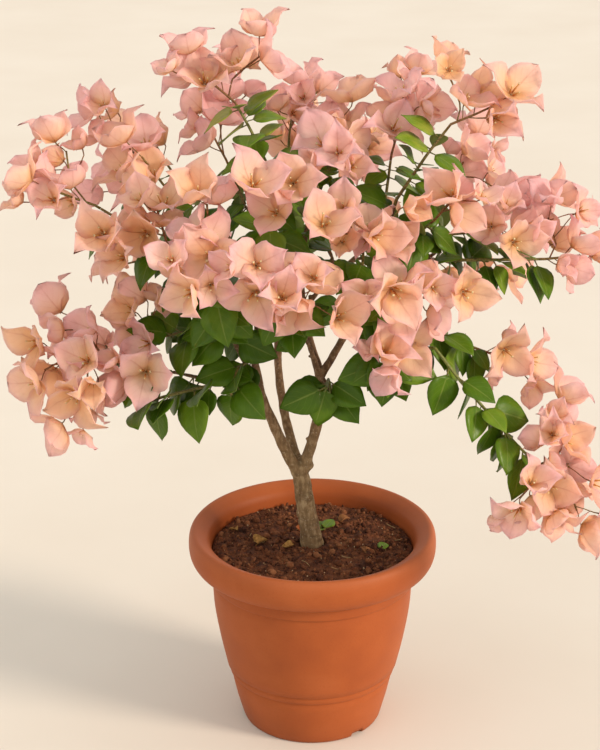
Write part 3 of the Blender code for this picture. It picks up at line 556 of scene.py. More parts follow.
class Plan:
    """Where every stem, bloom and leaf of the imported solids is, worked out as the solids are."""

    def __init__(self):
        self.crowd = Crowd()
        self.wood = []
        self.stems = {}
        self.axes = {}
        self.blooms = {}
        self.leaves = {}
        self.inner_leaves = []
        self.bloom_shapes = [bloom_shape(*kind) for kind in BLOOM_KINDS]
        self.leaf_shapes = [leaf_shape(*kind) for kind in LEAF_KINDS]
        self.lay_stems()
        self.lay_blooms()
        self.lay_leaves()

    def lay_stems(self):
        trunk = joined(smooth_path([Vector(p) * MM for p in TRUNK_LINE], TRUNK_SPACING * MM))
        self.wood.append((trunk, scaled(TRUNK_RADII), TRUNK_SIDES))
        limbs = {}
        for name, (start, end, sides, points) in LIMBS.items():
            limbs[name] = joined(smooth_path([Vector(p) * MM for p in points], LIMB_SPACING * MM))
            self.wood.append((limbs[name], scaled((start, end)), sides))
        for name, (limb, place, tip, base, _, clusters) in SPRAYS.items():
            twig, leafy = shoot_parts(limbs[limb], place, tip, base, clusters[0][:3] if clusters else None)
            if twig:
                self.wood.append((twig, scaled(TWIG_RADII), STEM_SIDES))
            self.stems[name] = leafy
            if clusters:
                self.axes[name] = self.bloom_axes(leafy, clusters)
        for path, radii, sides in self.wood:
            self.crowd.add("wood", *tube_arrays(path, radii, sides))
        for name, path in self.stems.items():
            self.crowd.add("leafy_" + name, *tube_arrays(path, scaled(STEM_RADII), STEM_SIDES))
        for name, lines in self.axes.items():
            for index, (path, radii, _) in enumerate(lines):
                self.crowd.add(f"blooms_{name}_{index}", *tube_arrays(path, radii, STEM_SIDES))

    def bloom_axes(self, leafy, clusters):
        """The axes of one spray: the first goes on from the leafy stem, and the others fork from it."""
        lines = []
        for index, (x, y, z, blooms) in enumerate(clusters):
            centre = Vector((x, y, z)) * MM
            if index == 0:
                path = grown_from(smooth_path([leafy[-2], leafy[-1], centre], AXIS_SPACING * MM)[1], leafy)
                lines.append((path, scaled(AXIS_RADII), blooms))
            else:
                start, direction = along(lines[0][0], FIRST_FORK + NEXT_FORK * index)
                path = joined(bent_line(start, direction, FORK_BEND, [centre], AXIS_SPACING))
                lines.append((path, scaled(FORK_RADII), blooms))
        return lines

    def lay_blooms(self):
        for name, lines in self.axes.items():
            self.blooms[name] = []
            draw = random.Random(name)
            for index, (path, _, blooms) in enumerate(lines):
                owner = f"blooms_{name}_{index}"
                for number in range(blooms):
                    last = number == blooms - 1
                    fraction = 1.0 if last else BLOOMS_FROM + BLOOMS_OVER * number / blooms
                    angle = draw.uniform(0, math.tau) if number == 0 else angle + GOLDEN_ANGLE
                    length = draw.uniform(*BRACT_LENGTH)
                    shape = draw.choice(self.bloom_shapes)
                    spot = (path, fraction, angle, last, length, shape, draw.random())
                    self.keep_bloom(name, owner, fit_bloom(self.crowd, owner, spot))

    def lay_leaves(self):
        for name, path in self.stems.items():
            self.leaves[name] = []
            draw = random.Random("leaf " + name)
            owner = "leafy_" + name
            angle = draw.uniform(0, math.tau)
            count = SPRAYS[name][4]
            for number in range(count):
                fraction = LEAVES_FROM + LEAVES_OVER * (number + 0.5) / count
                angle += GOLDEN_ANGLE
                length = draw.uniform(*LEAF_LENGTH)
                shape = draw.choice(self.leaf_shapes)
                spot = (path, fraction, angle, length, shape, draw.uniform(*LEAF_HANG))
                self.keep_leaf(self.leaves[name], owner + "_leaf", fit_leaf(self.crowd, owner, spot))

    def keep_bloom(self, name, owner, bloom, allowance=1.0):
        if bloom:
            shape, head, size, root = bloom
            self.crowd.add(owner + "_bloom", shape.placed(head, size * allowance, root), shape.faces)
            self.blooms[name].append((self.bloom_shapes.index(shape), head, size, root))

    def keep_leaf(self, rows, owner, leaf, allowance=1.0):
        if leaf:
            shape, place, size = leaf
            self.crowd.add(owner, shape.placed(place, size * allowance), shape.faces)
            rows.append((self.leaf_shapes.index(shape), place, size))


def inside_box(points):
    low, high = np.array(cad_box)
    return (points > low - BOX_SLACK).all() and (points < high + BOX_SLACK).all()


def fit_more_bloom(crowd, owner, path, draw, shapes):
    """Finds room for one more bloom beside a flowering axis, at a free angle and reach."""
    for _ in range(FILL_TRIES):
        base, tangent = along(path, draw.uniform(*FILL_BLOOM_PLACE))
        shape = draw.choice(shapes)
        size = draw.uniform(*FILL_BRACT_LENGTH) * MM
        out = outward(base)
        way = around(tangent, draw.uniform(0, math.tau)) + tangent * draw.uniform(*FILL_BLOOM_FORWARD)
        way = (way + out * FILL_BLOOM_OUTWARD + FILL_RISE).normalized()
        look = (way + out * BLOOM_OUTWARD + FILL_LOOK).normalized()
        head, root = bloom_places(base, way, look, draw.uniform(0, math.tau), draw.uniform(*FILL_REACH))
        points = shape.placed(head, size * FILL_ALLOWANCE, root)
        if inside_box(points) and not crowd.touches(points, shape.faces, owner):
            return shape, head, size, root
    return None


def fit_more_leaf(crowd, owner, path, draw, shapes, lengths):
    """Finds room for one more leaf on a stem or limb."""
    for _ in range(FILL_TRIES):
        base, tangent = along(path, draw.uniform(*FILL_LEAF_PLACE))
        shape = draw.choice(shapes)
        size = draw.uniform(*lengths) * MM
        out = outward(base)
        way = around(tangent, draw.uniform(0, math.tau)) + tangent * LEAF_FORWARD + out * FILL_LEAF_OUTWARD
        way = (way + Vector((0, -FILL_LEAF_FRONT, -draw.uniform(*FILL_LEAF_HANG)))).normalized()
        place = leaf_place(base, way, FILL_LEAF_FACE + out * LEAF_FACE_OUTWARD, FILL_LEAF_SETOUT)
        points = shape.placed(place, size * FILL_ALLOWANCE)
        free = shape.free_faces(shape.points[:, 0] < LEAF_FOOT)
        if inside_box(points) and not crowd.touches(points, free, owner) \
                and not crowd.hits_one(points, free, owner):
            return shape, place, size
    return None


def fill_in(plan):
    """Adds the smaller blooms and leaves that close up each cluster."""
    for name, lines in plan.axes.items():
        draw = random.Random("more " + name)
        for index, (path, _, blooms) in enumerate(lines):
            owner = f"blooms_{name}_{index}"
            for _ in range(1 + round(blooms * FILL_BLOOMS)):
                bloom = fit_more_bloom(plan.crowd, owner, path, draw, plan.bloom_shapes)
                plan.keep_bloom(name, owner, bloom, FILL_ALLOWANCE)
    for name, path in plan.stems.items():
        draw = random.Random("more leaves " + name)
        for _ in range(FILL_LEAVES if name in plan.axes else FILL_LEAVES // 3):
            leaf = fit_more_leaf(plan.crowd, "leafy_" + name, path, draw, plan.leaf_shapes, FILL_LEAF_LENGTH)
            plan.keep_leaf(plan.leaves[name], "more_leaf", leaf, FILL_ALLOWANCE)
    draw = random.Random("inner leaves")
    for path, _, _ in plan.wood[1:]:
        upper = path[len(path) // 2:]
        for _ in range(max(1, round(FILL_INNER * path_length(upper) / MM / 100))):
            leaf = fit_more_leaf(plan.crowd, "wood", upper, draw, plan.leaf_shapes, INNER_LEAF_LENGTH)
            plan.keep_leaf(plan.inner_leaves, "more_leaf", leaf, FILL_ALLOWANCE)


# Colours and materials

def paint(colour):
    """Turns an sRGB hex colour to linear RGBA, and gives any other value back as it is."""
    if not isinstance(colour, str):
        return colour
    channels = [int(colour[i:i + 2], 16) / 255 for i in (1, 3, 5)]
    return (*[c / 12.92 if c <= 0.04045 else ((c + 0.055) / 1.055) ** 2.4 for c in channels], 1.0)


def add(tree, kind, sockets=(), output=0, stops=(), **settings):
    """Adds a node and returns one of its outputs. Sockets are given by name, or in the node's own order."""
    node = tree.nodes.new("ShaderNode" + kind)
    for key, value in settings.items():
        setattr(node, key, value)
    for key, value in sockets.items() if isinstance(sockets, dict) else enumerate(sockets):
        if isinstance(value, bpy.types.NodeSocket):
            tree.links.new(value, node.inputs[key])
        else:
            node.inputs[key].default_value = paint(value)
    for _ in stops[2:]:
        node.color_ramp.elements.new(0.5)
    for place, (position, colour) in enumerate(stops):
        element = node.color_ramp.elements[place]
        element.position = position
        element.color = (colour, colour, colour, 1) if isinstance(colour, float) else paint(colour)
    return node.outputs[output]


def total(tree, *terms):
    """Adds up (value, weight) pairs, where either one may be a socket."""
    made = 0.0
    for value, weight in terms:
        made = add(tree, "Math", (value, weight, made), operation="MULTIPLY_ADD")
    return made


def coated(tree, body, *coats):
    """Lays (factor, colour) coats over a colour, one after another."""
    for factor, colour in coats:
        body = add(tree, "Mix", {0: factor, 6: body, 7: colour}, 2, data_type="RGBA")
    return body


def carried(tree, *names):
    """The values that the mesh carries at each point, such as how far along a blade it is."""
    return [add(tree, "Attribute", (), "Fac", attribute_name=name) for name in names]


def grain(tree, size_mm, detail=3.0, stretch=(1, 1, 1), roughness=0.5):
    """Noise over the object whose blotches are about size_mm across."""
    place = add(tree, "TexCoord", (), "Object")
    laid = add(tree, "Mapping", {"Vector": place, "Scale": stretch})
    return add(tree, "TexNoise", {"Vector": laid, "Scale": 1000.0 / size_mm, "Detail": detail,
                                  "Roughness": roughness}, "Fac")


def material(name, finish, *colours):
    """Makes a material of a finish, which adds its nodes to a tree and returns the surface."""
    made = bpy.data.materials.new(name)
    made.use_nodes = True
    tree = made.node_tree
    tree.nodes.clear()
    surface = finish(tree, *colours)
    tree.links.new(surface, tree.nodes.new("ShaderNodeOutputMaterial").inputs["Surface"])
    return made


def terracotta(tree, clay):
    """Terracotta, fired and unglazed: an even, dry orange with soft mottling and turning marks."""
    place = add(tree, "TexCoord", (), "Object")
    height = add(tree, "SeparateXYZ", (place,), "Z")
    mottle, speck = grain(tree, 60, 4), grain(tree, 2.4, 2)
    pits = add(tree, "ValToRGB", (speck,), stops=[(0.30, 0.22), (0.42, 0.0)])
    # The clay is darker in a band over the foot, and a paler band along the top of the lip is a painted
    # highlight
    foot = add(tree, "MapRange", (total(tree, (mottle, 0.03), (height, 1)), 0.01, 0.055, 0.32, 0))
    lip = add(tree, "MapRange", (height, 0.236, 0.252, 0, 0.22))
    body = add(tree, "ValToRGB", (mottle,), stops=[(0.30, "#9C4F28"), (0.52, clay), (0.72, "#A95A30")])
    body = coated(tree, body, (pits, "#8C4425"), (foot, "#8A4C2C"), (lip, "#BC7450"))
    # Turning marks are rings about 3 mm apart, drawn a little bolder than they are so that they show
    rings = add(tree, "TexWave", {"Vector": place, "Scale": 1000.0 / (3.0 * 6.0), "Distortion": 1.2,
                                  "Detail": 2.0, "Detail Scale": 0.8}, "Fac", wave_type="BANDS",
                bands_direction="Z")
    bump = add(tree, "Bump", {"Height": total(tree, (rings, 0.25), (speck, 0.8)), "Strength": 0.16,
                              "Distance": 0.5 * MM})
    rough = add(tree, "MapRange", (mottle, 0, 1, 0.42, 0.58))
    return add(tree, "BsdfPrincipled", {"Base Color": body, "Roughness": rough, "Normal": bump,
                                        "Specular IOR Level": 0.2, "IOR": 1.45})


def potting_soil(tree):
    """Moist loam with compost: dark red-brown crumbs, paler and drier on their tops."""
    clod, fine = grain(tree, 9, 5, roughness=0.6), grain(tree, 1.8, 3)
    tone = total(tree, (fine, 0.35), (clod, 0.65), (carried(tree, "tint")[0], 0.22))
    body = add(tree, "ValToRGB", (tone,), stops=[(0.38, "#40241A"), (0.58, "#6E422A"), (0.80, "#946444")])
    bump = add(tree, "Bump", {"Height": fine, "Strength": 0.8, "Distance": 1.2 * MM})
    return add(tree, "BsdfPrincipled", {"Base Color": body, "Roughness": 0.94, "Normal": bump,
                                        "Specular IOR Level": 0.2})


def bark(tree):
    """Young bougainvillea bark: dry grey-brown cork, ringed near the soil and streaked higher up."""
    height = add(tree, "SeparateXYZ", (add(tree, "TexCoord", (), "Object"),), "Z")
    streak, patch = grain(tree, 4, 4, (1, 1, 0.4)), grain(tree, 18, 3)
    tone = total(tree, (patch, 0.35), (streak, 0.7))
    lower = add(tree, "ValToRGB", (tone,), stops=[(0.36, "#6E563B"), (0.55, "#8C7352"), (0.72, "#B39C78")])
    upper = add(tree, "ValToRGB", (tone,), stops=[(0.36, "#5A4030"), (0.55, "#7C5E44"), (0.72, "#9E8066")])
    # Broken rings run round the foot of the trunk about 3.5 mm apart
    rings = grain(tree, 9.0909, 3, (0.35, 0.35, 2.6))
    rings = add(tree, "ValToRGB", (rings,), stops=[(0.36, 1.0), (0.50, 0.0)])
    crack = total(tree, (rings, add(tree, "MapRange", (height, 0.30, 0.38, 1, 0.12))))
    fleck = add(tree, "ValToRGB", (grain(tree, 2.2, 2, (1, 1, 0.7)),), stops=[(0.60, 0.0), (0.72, 0.45)])
    body = coated(tree, lower, (add(tree, "MapRange", (height, 0.33, 0.46)), upper),
                  (total(tree, (crack, 0.28)), "#54402A"), (fleck, "#C8B79C"))
    bump = add(tree, "Bump", {"Height": total(tree, (crack, -0.7), (streak, 0.8)), "Strength": 0.45,
                              "Distance": 1.2 * MM})
    return add(tree, "BsdfPrincipled", {"Base Color": body, "Roughness": 0.82, "Normal": bump,
                                        "Specular IOR Level": 0.3})


def young_stem(tree):
    """Green wood of this year's growth: olive, reddening towards the blooms, with fine streaks."""
    streak = grain(tree, 2.2, 3)
    green = add(tree, "ValToRGB", (streak,), stops=[(0.35, "#4C5A22"), (0.65, "#78823A")])
    rust = add(tree, "ValToRGB", (streak,), stops=[(0.35, "#6A3A24"), (0.65, "#A0684A")])
    body = coated(tree, green, (carried(tree, "red")[0], rust))
    bump = add(tree, "Bump", {"Height": streak, "Strength": 0.3, "Distance": 0.4 * MM})
    return add(tree, "BsdfPrincipled", {"Base Color": body, "Roughness": 0.5, "Normal": bump,
                                        "Specular IOR Level": 0.4})


def veined(tree, along, across, count, slant, width, half_rib):
    """A blade's side veins, which leave the midrib at a slant, and its midrib: 1 on a vein and 0 between."""
    reach = add(tree, "Math", (across,), operation="ABSOLUTE")
    place = total(tree, (reach, -slant), (along, 1), (grain(tree, 9, 2), 0.05))
    wave = add(tree, "Math", (total(tree, (place, count * math.tau)),), operation="COSINE")
    veins = add(tree, "MapRange", (wave, 1.0 - width, 1.0), interpolation_type="SMOOTHSTEP")
    rib = add(tree, "MapRange", (reach, half_rib, half_rib * 0.3), interpolation_type="SMOOTHSTEP")
    return reach, veins, rib


def leaf_blade(tree, green):
    """A leathery living leaf: waxy deep green above with paler veins, matt and lighter below."""
    along, across, under, tint = carried(tree, "along", "across", "under", "tint")
    _, veins, rib = veined(tree, along, across, 6, 0.42, 0.10, 0.07)
    tone = total(tree, (tint, 0.75), (grain(tree, 14, 3), 0.35))
    upper = add(tree, "ValToRGB", (tone,), stops=[(0.12, "#39560E"), (0.45, green), (0.72, "#769424"),
                                                  (0.86, "#A8B044")])
    upper = coated(tree, upper, (total(tree, (veins, 0.16)), "#7C9440"),
                   (total(tree, (rib, 0.45)), "#8FA04C"))
    lower = add(tree, "ValToRGB", (tone,), stops=[(0.12, "#5C7434"), (0.86, "#93A45C")])
    body = coated(tree, upper, (under, coated(tree, lower, (total(tree, (rib, 0.6)), "#A9B57C"))))
    bump = add(tree, "Bump", {"Height": total(tree, (veins, 0.8), (rib, 1), (grain(tree, 3, 2), 0.5)),
                              "Strength": 0.35, "Distance": 0.8 * MM}, invert=True)
    rough = add(tree, "MapRange", (under, 0, 1, 0.36, 0.62))
    surface = add(tree, "BsdfPrincipled", {"Base Color": body, "Roughness": rough, "Normal": bump,
                                           "Specular IOR Level": 0.34, "IOR": 1.42})
    glow = add(tree, "BsdfTranslucent", {"Color": coated(tree, body, (0.35, "#A6B82E"))})
    return add(tree, "MixShader", (0.22, surface, glow))


def paper_bract(tree, salmon):
    """A papery bract: salmon sheet as thin as tissue, ochre at its foot, pinker at its edge, and veined."""
    along, across, tint = carried(tree, "along", "across", "tint")
    reach, veins, rib = veined(tree, along, across, 5, 0.5, 0.06, 0.06)
    # The last term brings the blotches and the tint, which are about 0.5 each, back to about 0
    place = total(tree, (grain(tree, 16, 3), 0.30), (along, 1), (tint, 0.42), (1, -0.36))
    body = add(tree, "ValToRGB", (place,), stops=[(0.0, "#E0C286"), (0.12, "#F3D0A2"), (0.30, "#FDE7D2"),
                                                  (0.56, salmon), (0.95, "#FDD8E1")])
    # Older blooms turn apricot and younger ones rose, and the edge is pinker than the middle
    old = add(tree, "MapRange", (tint, 0.50, 0.15, 0, 0.60))
    young = add(tree, "MapRange", (tint, 0.52, 0.90, 0, 0.65))
    edge = add(tree, "MapRange", (reach, 0.62, 1, 0, 0.5))
    fade = add(tree, "MapRange", (along, 0.25, 1, 1, 0.15))
    body = coated(tree, body, (old, "#FBD9AC"), (young, "#FCDDE6"), (edge, "#FCD3DD"),
                  (total(tree, (veins, total(tree, (fade, 0.16)))), "#D98A70"),
                  (total(tree, (rib, total(tree, (fade, 0.34)))), "#BE6A44"))
    bump = add(tree, "Bump", {"Height": total(tree, (grain(tree, 5, 3), 0.8), (veins, 0.6)), "Strength": 0.4,
                              "Distance": 0.9 * MM})
    surface = add(tree, "BsdfPrincipled", {"Base Color": body, "Roughness": 0.6, "Normal": bump,
                                           "Specular IOR Level": 0.25, "IOR": 1.4})
    glow = add(tree, "BsdfTranslucent", {"Color": coated(tree, body, (0.65, "#FFE6D8")), "Normal": bump})
    return add(tree, "MixShader", (0.58, surface, glow))


def floret_tube(tree):
    """The true flower: a slim waxy tube, ochre to rose at its foot and cream at its starry mouth."""
    body = add(tree, "ValToRGB", carried(tree, "along"), stops=[(0.0, "#B4673F"), (0.45, "#C98A4C"),
                                                                (0.80, "#D8B670"), (0.94, "#EADBB0")])
    body = coated(tree, body, (total(tree, (grain(tree, 2, 2), 0.25)), "#B9843F"))
    return add(tree, "BsdfPrincipled", {"Base Color": body, "Roughness": 0.55, "Specular IOR Level": 0.3})


def litter(tree, dark, pale):
    """Dead leaf, straw and chips on the soil: dry, brittle and streaked."""
    streak = grain(tree, 3, 4, (1, 0.5, 1))
    body = add(tree, "ValToRGB", (streak,), stops=[(0.3, dark), (0.7, pale)])
    bump = add(tree, "Bump", {"Height": streak, "Strength": 0.5, "Distance": 0.8 * MM})
    return add(tree, "BsdfPrincipled", {"Base Color": body, "Roughness": 0.75, "Normal": bump,
                                        "Specular IOR Level": 0.3})


def pale_ground(tree):
    """Plain matt ground, pale cream with a trace of cloudiness."""
    body = add(tree, "ValToRGB", (grain(tree, 350, 3),), stops=[(0.3, "#DFD8CE"), (0.7, "#E3DDD4")])
    return add(tree, "BsdfPrincipled", {"Base Color": body, "Roughness": 0.9, "Specular IOR Level": 0.2})


# Meshes

def evaluated_mesh(obj):
    return bpy.data.meshes.new_from_object(obj.evaluated_get(bpy.context.evaluated_depsgraph_get()))


def kept(bm, name="unit"):
    """Keeps a bmesh as mesh data, such as a unit shape that is stamped many times."""
    mesh = bpy.data.meshes.new(name)
    bm.to_mesh(mesh)
    bm.free()
    return mesh


def in_scene(name, data):
    made = bpy.data.objects.new(name, data)
    bpy.context.scene.collection.objects.link(made)
    return made


def finished(name, bm, looks, slot, *nodes):
    """Makes a smooth piece of a bmesh, which rides on the one body and replaces the CAD nodes named."""
    piece = in_scene(name, kept(bm, name))
    for face in piece.data.polygons:
        face.use_smooth = True
    for look in looks:
        piece.data.materials.append(look)
    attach(piece, "root")
    if nodes:
        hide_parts(*nodes)


def new_mesh():
    """A bmesh with a layer for each value that a material reads."""
    bm = bmesh.new()
    for name in ("along", "across", "under", "tint", "red"):
        bm.verts.layers.float.new(name)
    return bm


def layer(bm, name):
    return bm.verts.layers.float[name]


def stamp(bm, unit, place=Matrix(), tint=None, red=None, index=None):
    """Adds a copy of a unit mesh, put in place by a matrix or by a function of each point."""
    verts, faces = len(bm.verts), len(bm.faces)
    bm.from_mesh(unit)
    bm.verts.ensure_lookup_table()
    bm.faces.ensure_lookup_table()
    for vert in bm.verts[verts:]:
        vert.co = place @ vert.co if isinstance(place, Matrix) else place(vert.co)
        if tint is not None:
            vert[layer(bm, "tint")] = tint
        if red is not None:
            vert[layer(bm, "red")] = red
    if index is not None:
        for face in bm.faces[faces:]:
            face.material_index = index


def bounded(value):
    return min(1.0, max(0.0, value))


def interpolated(table, place):
    for (a, first), (b, second) in zip(table, table[1:]):
        if place <= b:
            return first + (second - first) * (place - a) / (b - a)
    return table[-1][1]


def spread(values):
    """Spreads values evenly from 0 to 1, as a table for interpolated."""
    return [(index / (len(values) - 1), value) for index, value in enumerate(values)]


def ball(subdivisions):
    bm = bmesh.new()
    bmesh.ops.create_icosphere(bm, subdivisions=subdivisions, radius=1)
    return kept(bm)


def raised(bm, rim, rise):
    """Extrudes a ring of edges upwards, and returns the new points and edges."""
    grown = bmesh.ops.extrude_edge_only(bm, edges=rim)["geom"]
    verts = [item for item in grown if isinstance(item, bmesh.types.BMVert)]
    bmesh.ops.translate(bm, verts=verts, vec=(0, 0, rise))
    return verts, [item for item in grown if isinstance(item, bmesh.types.BMEdge)]


def unit_stem(sides, steps):
    """A capped round stem of unit radius from z 0 to z 1."""
    bm = new_mesh()
    bmesh.ops.create_circle(bm, segments=sides, radius=1, cap_ends=True)
    bmesh.ops.reverse_faces(bm, faces=bm.faces)
    rim = bm.edges[:]
    for _ in range(steps):
        _, rim = raised(bm, rim, 1 / steps)
    bmesh.ops.contextual_create(bm, geom=rim)
    bmesh.ops.recalc_face_normals(bm, faces=bm.faces)
    for vert in bm.verts:
        vert[layer(bm, "along")] = vert.co.z
    return kept(bm)


def follow(path, radius):
    """Gives the place function that bends a unit stem along path; radius is a function of 0 to 1."""
    frames = []
    side = (path[1] - path[0]).normalized().orthogonal().normalized()
    for index, point in enumerate(path):
        ahead = (path[min(index + 1, len(path) - 1)] - path[max(index - 1, 0)]).normalized()
        side = (side - side.dot(ahead) * ahead).normalized()
        frames.append((point, side, ahead.cross(side)))

    def place(co):
        spot = co.z * (len(frames) - 1)
        low = min(int(spot), len(frames) - 2)
        middle, side, other = (a.lerp(b, spot - low) for a, b in zip(frames[low], frames[low + 1]))
        wide = radius(co.z)
        return middle + side.normalized() * co.x * wide + other.normalized() * co.y * wide
    return place


def bezier(points, count):
    """Samples a Bezier line through its end points, pulled by the ones between."""
    made = []
    for index in range(count + 1):
        level = points
        while len(level) > 1:
            level = [a.lerp(b, index / count) for a, b in zip(level, level[1:])]
        made.append(level[0])
    return made


def smooth_stem(bm, path, spacing, sides, radius, **look):
    """Adds a round stem along path, with a ring every few millimetres."""
    count = max(4, round(path_length(path) / MM / spacing))
    fine = [along(path, step / count)[0] if step else path[0] for step in range(count + 1)]
    stamp(bm, unit_stem(sides, count), follow(fine, radius), **look)


# Bracts, tube flowers and leaves, each in shares of its own length

BRACT_OUTLINE = ((0.0, 0.22), (0.08, 0.62), (0.20, 0.92), (0.36, 1.03), (0.52, 1.0), (0.68, 0.84),
                 (0.82, 0.55), (0.93, 0.20), (1.0, 0.0))
BRACT_HALF_WIDTH = 0.48
BRACT_FACES = (7, 4)
BRACT_SHEET = 0.009
BRACT_FOOT = 0.015
BRACT_LEAN = 0.86
BRACT_CUP = (0.0, 0.26)
BRACT_TIP = 0.22
BRACT_CURL = (0.05, 0.42)
BRACT_WAVE = (0.04, 0.085)
BRACT_WAVE_PACE = (6.5, 11.0)
BRACT_CRUMPLE = (0.04, 0.13)
BRACT_SKEW = (-0.16, 0.16)
BRACT_BELLY = 0.10
FLORET_RADIUS = 0.019
FLORET_LENGTH = (0.20, 0.32)
FLORET_LEAN = (0.20, 0.36)
FLORET_PLACE = Matrix.Translation((0.05, 0, 0))
FLORET_LIFT = 0.03
FLORETS_OPEN = 0.4
LEAF_SHAPE = ((0.0, 0.0), (0.05, 0.40), (0.14, 0.80), (0.28, 1.02), (0.42, 1.02), (0.58, 0.88), (0.74, 0.62),
              (0.86, 0.34), (0.94, 0.12), (1.0, 0.0))
LEAF_STALK = 0.15
LEAF_HALF_WIDTH = 0.36
LEAF_FACES = (8, 4)
LEAF_SHEET = 0.7 / 60
LEAF_WAVE = (0.008, 0.028)
LEAF_SWAY = (-0.05, 0.05)
LEAF_ROLL = (0.0, 0.10)


def sheet(faces, bend, thickness):
    """A thin closed sheet: bend gives each point's place from how far along and across it is."""
    bm = new_mesh()
    bmesh.ops.create_grid(bm, x_segments=faces[0], y_segments=faces[1], size=1)
    for vert in bm.verts:
        t, s = (vert.co.x + 1) / 2, vert.co.y
        vert[layer(bm, "along")], vert[layer(bm, "across")] = t, s
        vert.co = bend(t, s)
    bmesh.ops.remove_doubles(bm, verts=bm.verts, dist=0.0005)
    bm.normal_update()
    front = set(bm.verts)
    bmesh.ops.solidify(bm, geom=bm.faces[:], thickness=thickness)
    for vert in bm.verts:
        if vert not in front:
            vert[layer(bm, "under")] = 1.0
    bmesh.ops.recalc_face_normals(bm, faces=bm.faces)
    return kept(bm)


def bract_bend(draw, rise):
    """How one bract curves: it leaves the foot steeply, bellies out, and its pointed tip curls back."""
    half = BRACT_HALF_WIDTH * draw.uniform(0.94, 1.06)
    cup, curl, wave = (draw.uniform(*limits) for limits in (BRACT_CUP, BRACT_CURL, BRACT_WAVE))
    phase = draw.uniform(0, math.tau)
    pace, crumple, skew = (draw.uniform(*limits) for limits in (BRACT_WAVE_PACE, BRACT_CRUMPLE, BRACT_SKEW))
    reach, height = math.cos(rise * BRACT_LEAN), math.sin(rise * BRACT_LEAN)

    def bend(t, s):
        share = interpolated(BRACT_OUTLINE, t)
        # The midrib bellies out and down from the straight line between foot and tip
        belly = math.sin(math.pi * min(1.0, t * 1.08)) * BRACT_BELLY
        tip = curl * (max(0.0, t - 1 + BRACT_TIP) / BRACT_TIP) ** 2
        # The lift is towards the bloom's middle, up and inwards: cupped sides, a wavy edge and crumples
        lift = cup * abs(s) ** 1.7 * share + 0.03 * abs(s) - 0.012
        lift += wave * math.sin(phase + pace * t + (2.0 if s > 0 else 0.0)) * abs(s) ** 2.2 * share
        lift += crumple * noise.noise(Vector((t * 3.2 + phase * 3, s * 1.8, phase * 7))) * min(1.0, t * 3)
        x = BRACT_FOOT + reach * t + (belly + tip * 1.2 - lift) * height
        y = half * share * s * (1.0 - 0.35 * cup * abs(s)) + skew * t * t * 0.5
        return Vector((x, y, height * t - (belly + tip - lift) * reach))
    return bend


def unit_floret(turn, opened, draw):
    """One slim tube flower, which stands on its bract's foot and leans with it."""
    lean = draw.uniform(*FLORET_LEAN)
    length = draw.uniform(*FLORET_LENGTH)
    bm = new_mesh()
    bmesh.ops.create_circle(bm, segments=5, radius=FLORET_RADIUS, cap_ends=False)
    rim = bm.edges[:]
    # Each stage's share of the length and how it widens: a swollen foot, a waist, a throat and the mouth
    for rise, wide in ((0.30, 1.35), (0.30, 0.62), (0.34, 1.25), (0.06, 1.9 if opened else 0.4)):
        verts, rim = raised(bm, rim, rise * length)
        centre = sum((vert.co for vert in verts), Vector()) / len(verts)
        bmesh.ops.scale(bm, verts=verts, vec=(wide, wide, 1), space=Matrix.Translation(-centre))
    bmesh.ops.contextual_create(bm, geom=rim)
    for vert in bm.verts:
        vert[layer(bm, "along")] = min(1.0, vert.co.z / length)
        vert.co.z += FLORET_LIFT
    place = Matrix.Rotation(turn, 4, "Z") @ FLORET_PLACE @ Matrix.Rotation(lean, 4, "Y")
    bmesh.ops.transform(bm, verts=bm.verts, matrix=place)
    return kept(bm)


def unit_bloom(cup, number):
    """One bloom of unit bract length facing +Z: three bracts, each with its tube flower."""
    draw = random.Random(f"bloom {cup} {number}")
    bm = new_mesh()
    for bract in range(3):
        turn = Matrix.Rotation(math.tau / 3 * bract + draw.uniform(-0.20, 0.20), 4, "Z")
        rise = math.radians(cup + draw.uniform(-6, 22))
        unit = sheet(BRACT_FACES, bract_bend(draw, rise), BRACT_SHEET)
        stamp(bm, unit, turn @ Matrix.Scale(draw.uniform(0.88, 1.06), 4))
    for bract in range(3):
        stamp(bm, unit_floret(math.tau / 3 * bract + 0.15, draw.random() < FLORETS_OPEN, draw), index=1)
    bmesh.ops.recalc_face_normals(bm, faces=bm.faces)
    return kept(bm)


def unit_leaf(droop, fold, number):
    """One ovate leaf of unit length along +X, with its stalk, drip tip and folded midrib."""
    draw = random.Random(f"leaf {droop} {number}")
    wave, phase = draw.uniform(*LEAF_WAVE), draw.uniform(0, math.tau)
    sway, roll = draw.uniform(*LEAF_SWAY), draw.uniform(*LEAF_ROLL)
    half = LEAF_HALF_WIDTH * draw.uniform(0.92, 1.04)

    def line(x):
        return Vector((x, sway * x * x, -droop * x * x))

    def bend(t, s):
        wide = half * interpolated(LEAF_SHAPE, t)
        spot = line(LEAF_STALK + (1 - LEAF_STALK) * t)
        spot.y += s * wide
        spot.z += abs(s) * wide * fold * 0.9 - roll * (s * wide) ** 2 * 4
        spot.z += wave * math.sin(phase + 9 * t + (1.3 if s > 0 else 0)) * s * s
        return spot

    bm = new_mesh()
    stamp(bm, sheet(LEAF_FACES, bend, LEAF_SHEET))
    stalk = [line(LEAF_STALK * 1.3 * step / 3) - Vector((0, 0, 0.006)) for step in range(4)]
    stamp(bm, unit_stem(5, 3), follow(stalk, lambda z: 0.019 - 0.007 * z), red=0.25, index=1)
    bmesh.ops.recalc_face_normals(bm, faces=bm.faces)
    return kept(bm)


# Pot

POT_SPIN_STEPS = 128
LONG_RUN = 40.0
WALL_STEP = 9.0
LIP_STEP = 1.8
NOTCH_ROUNDING = 1.6
DRAIN_SIDES = 24
WALL_FROM = 80.0
WALL_STRAY = 0.5

